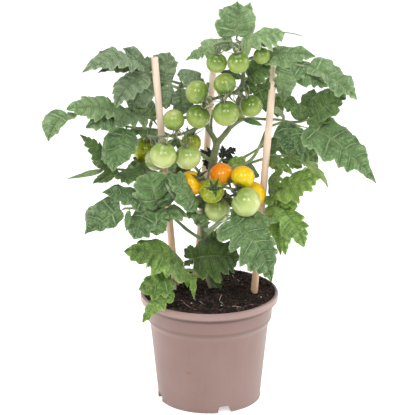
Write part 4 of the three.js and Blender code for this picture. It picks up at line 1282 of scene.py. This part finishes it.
def lump_faces():
    """An icosahedron: its points on the unit ball, and the corners of its twenty faces."""
    gold = (1 + 5**0.5) / 2
    corners = [(0, a, b * gold) for a in (1, -1) for b in (1, -1)]
    points = np.array([np.roll(c, k) for k in range(3) for c in corners])
    near = np.linalg.norm(points[:, None] - points[None], axis=-1) < 2.1
    threes = itertools.combinations(range(12), 3)
    faces = [(i, j, k) for i, j, k in threes if near[i, j] and near[j, k] and near[i, k]]
    turned = [f if np.linalg.det(points[list(f)]) > 0 else f[::-1] for f in faces]
    return unit(points), np.array(turned)


BALL, BALL_FACES = lump_faces()


def add_lump(batch, x, y, size, finish=0):
    stretch = rng.uniform(0.5, 1.2, 3) * size
    points = BALL * rng.uniform(0.7, 1.2, (12, 1)) * stretch
    spin = frame_of(rng.normal(0, 1, 3) + (0, 0, 0.01))
    centre = (x, y, rough_height(x, y) + 0.25 * size)
    batch.add((points @ spin + centre) * MM, BALL_FACES, None, finish)


crumbs = Batch()
for _ in range(CRUMBS):
    x, y = on_peat(65)
    add_lump(crumbs, x, y, 0.4 + 2.1 * rng.random() ** 3)
for turn in rng.uniform(0, TURN, RIM_CRUMBS):
    radius = rng.uniform(62, 66.4)
    add_lump(crumbs, radius * math.cos(turn), radius * math.sin(turn), 0.45 + 1.1 * rng.random() ** 2)
for x, y in PERLITE:
    add_lump(crumbs, x, y, 0.9, finish=1)
for _ in range(GRAINS):
    add_lump(crumbs, *on_peat(62), 0.35, finish=1)
crumbs.piece("peat_crumbs", [crumb_skin, perlite_skin], "soil")
print(f"crumbs: {len(crumbs.faces)} faces")

# %% Lay fibres and roots on the peat
# A root is a few places on the peat, across and back, that it runs through, and its radius.
FIBRES = 150
ROOTS = [
    ([(13, -20), (10, -32), (14, -43), (22, -50)], 0.42),
    ([(20, -49), (32, -47), (44, -41), (54, -38)], 0.36),
    ([(-16, -26), (-10, -36), (-4, -44)], 0.38),
    ([(24, 46), (29, 32), (35, 14)], 0.34),
    ([(-28, -34), (-20, -48), (-12, -54)], 0.24),
    ([(44, 4), (56, -4), (60, -18)], 0.24),
]
litter = Batch()
for places, radius in ROOTS:
    flat = curve([(x, y, 0) for x, y in places], np.linspace(0, 1, 40))
    line = []
    for k, (x, y, _) in enumerate(flat):
        line.append((x, y, rough_height(x, y) + 0.5 + 0.5 * math.sin(k * 0.35)))
    add_tube(litter, np.array(line) * MM, radius * np.linspace(1, 0.55, 40) * MM, sides=7, finish=1)
for _ in range(FIBRES):
    x, y = on_peat(60)
    heading, length, bend = rng.uniform(0, TURN), rng.uniform(3, 11), rng.uniform(-1, 1)
    steps = np.linspace(-0.5, 0.5, 9)
    xs = x + length * (steps * math.cos(heading) - bend * steps**2 * math.sin(heading))
    ys = y + length * (steps * math.sin(heading) + bend * steps**2 * math.cos(heading))
    rise = rng.uniform(-0.12, 0.35) * length
    line = [(a, b, rough_height(a, b) + 0.3 + max(0, rise * s)) for a, b, s in zip(xs, ys, steps)]
    if max(np.hypot(xs, ys)) < 65:
        add_tube(litter, np.array(line) * MM, rng.uniform(0.12, 0.3) * MM, sides=5)
litter.piece("peat_fibres", [fibre_skin, root_skin], "soil")
print(f"fibres and roots: {len(litter.faces)} faces")

# %% [markdown]
# ## The studio
# The plant stands on a plain pale floor under soft light. The floor itself glows a little, as a
# light table would, and lights the plant from below too. Two square lamps, left and right of the
# camera, give every tomato its pair of small highlights. Three wider ones, above and at the sides,
# and an even sky fill the shadows.

# %% Floor, lamps and sky
def glowing_floor():
    # Painted light: the floor glows with a white emission of its own, so it also lights the plant from
    # below.
    f = Finish("glowing_floor", {
        "Specular IOR Level": 0.1, "Emission Color": (1, 1, 1, 1), "Emission Strength": 0.5,
    })
    f.colour = f.blend(f.noise(f.place(), 3, 2), rgb(248, 248, 248), rgb(251, 251, 251))
    return f.close(0.9)


FAR = 40  # metres to the floor's edges, so far that they hardly show
corners = [(-FAR, -FAR, 0), (FAR, -FAR, 0), (FAR, FAR, 0), (-FAR, FAR, 0)]
floor_mesh = bpy.data.meshes.new("floor")
floor_mesh.from_pydata(corners, [], [(0, 1, 2, 3)])
floor_mesh.materials.append(glowing_floor())
floor = show(bpy.data.objects.new("floor", floor_mesh))


def lamp(name, place, target, size, watts):
    light = bpy.data.lights.new(name, "AREA")
    light.shape = "SQUARE"
    light.size = size
    light.energy = watts
    holder = show(bpy.data.objects.new(name, light))
    holder.location = place
    holder.rotation_euler = (Vector(target) - Vector(place)).to_track_quat("-Z", "Y").to_euler()


lamp("lamp_left", (-0.55, -1.5, 1.35), (0, 0, 0.25), 0.52, 10)
lamp("lamp_right", (0.6, -1.5, 1.35), (0, 0, 0.25), 0.52, 9)
lamp("lamp_top", (0, 0.1, 2.2), (0, 0, 0.2), 1.3, 18)
lamp("side_left", (-1.5, 0.1, 0.6), (0, 0, 0.2), 1.2, 12)
lamp("side_right", (1.5, 0.1, 0.6), (0, 0, 0.2), 1.2, 14)
sky = bpy.data.worlds.new("sky")
sky.use_nodes = True
background = sky.node_tree.nodes["Background"]
background.inputs["Color"].default_value = (1, 1, 1, 1)
background.inputs["Strength"].default_value = 0.42
scene.world = sky
scene.view_settings.view_transform = "Standard"
print("the studio is lit")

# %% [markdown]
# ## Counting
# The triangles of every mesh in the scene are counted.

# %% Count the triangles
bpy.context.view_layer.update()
meshes = [thing.data for thing in bpy.data.objects if thing.type == "MESH"]
print(sum(len(face.vertices) - 2 for mesh in meshes for face in mesh.polygons), "triangles in all")
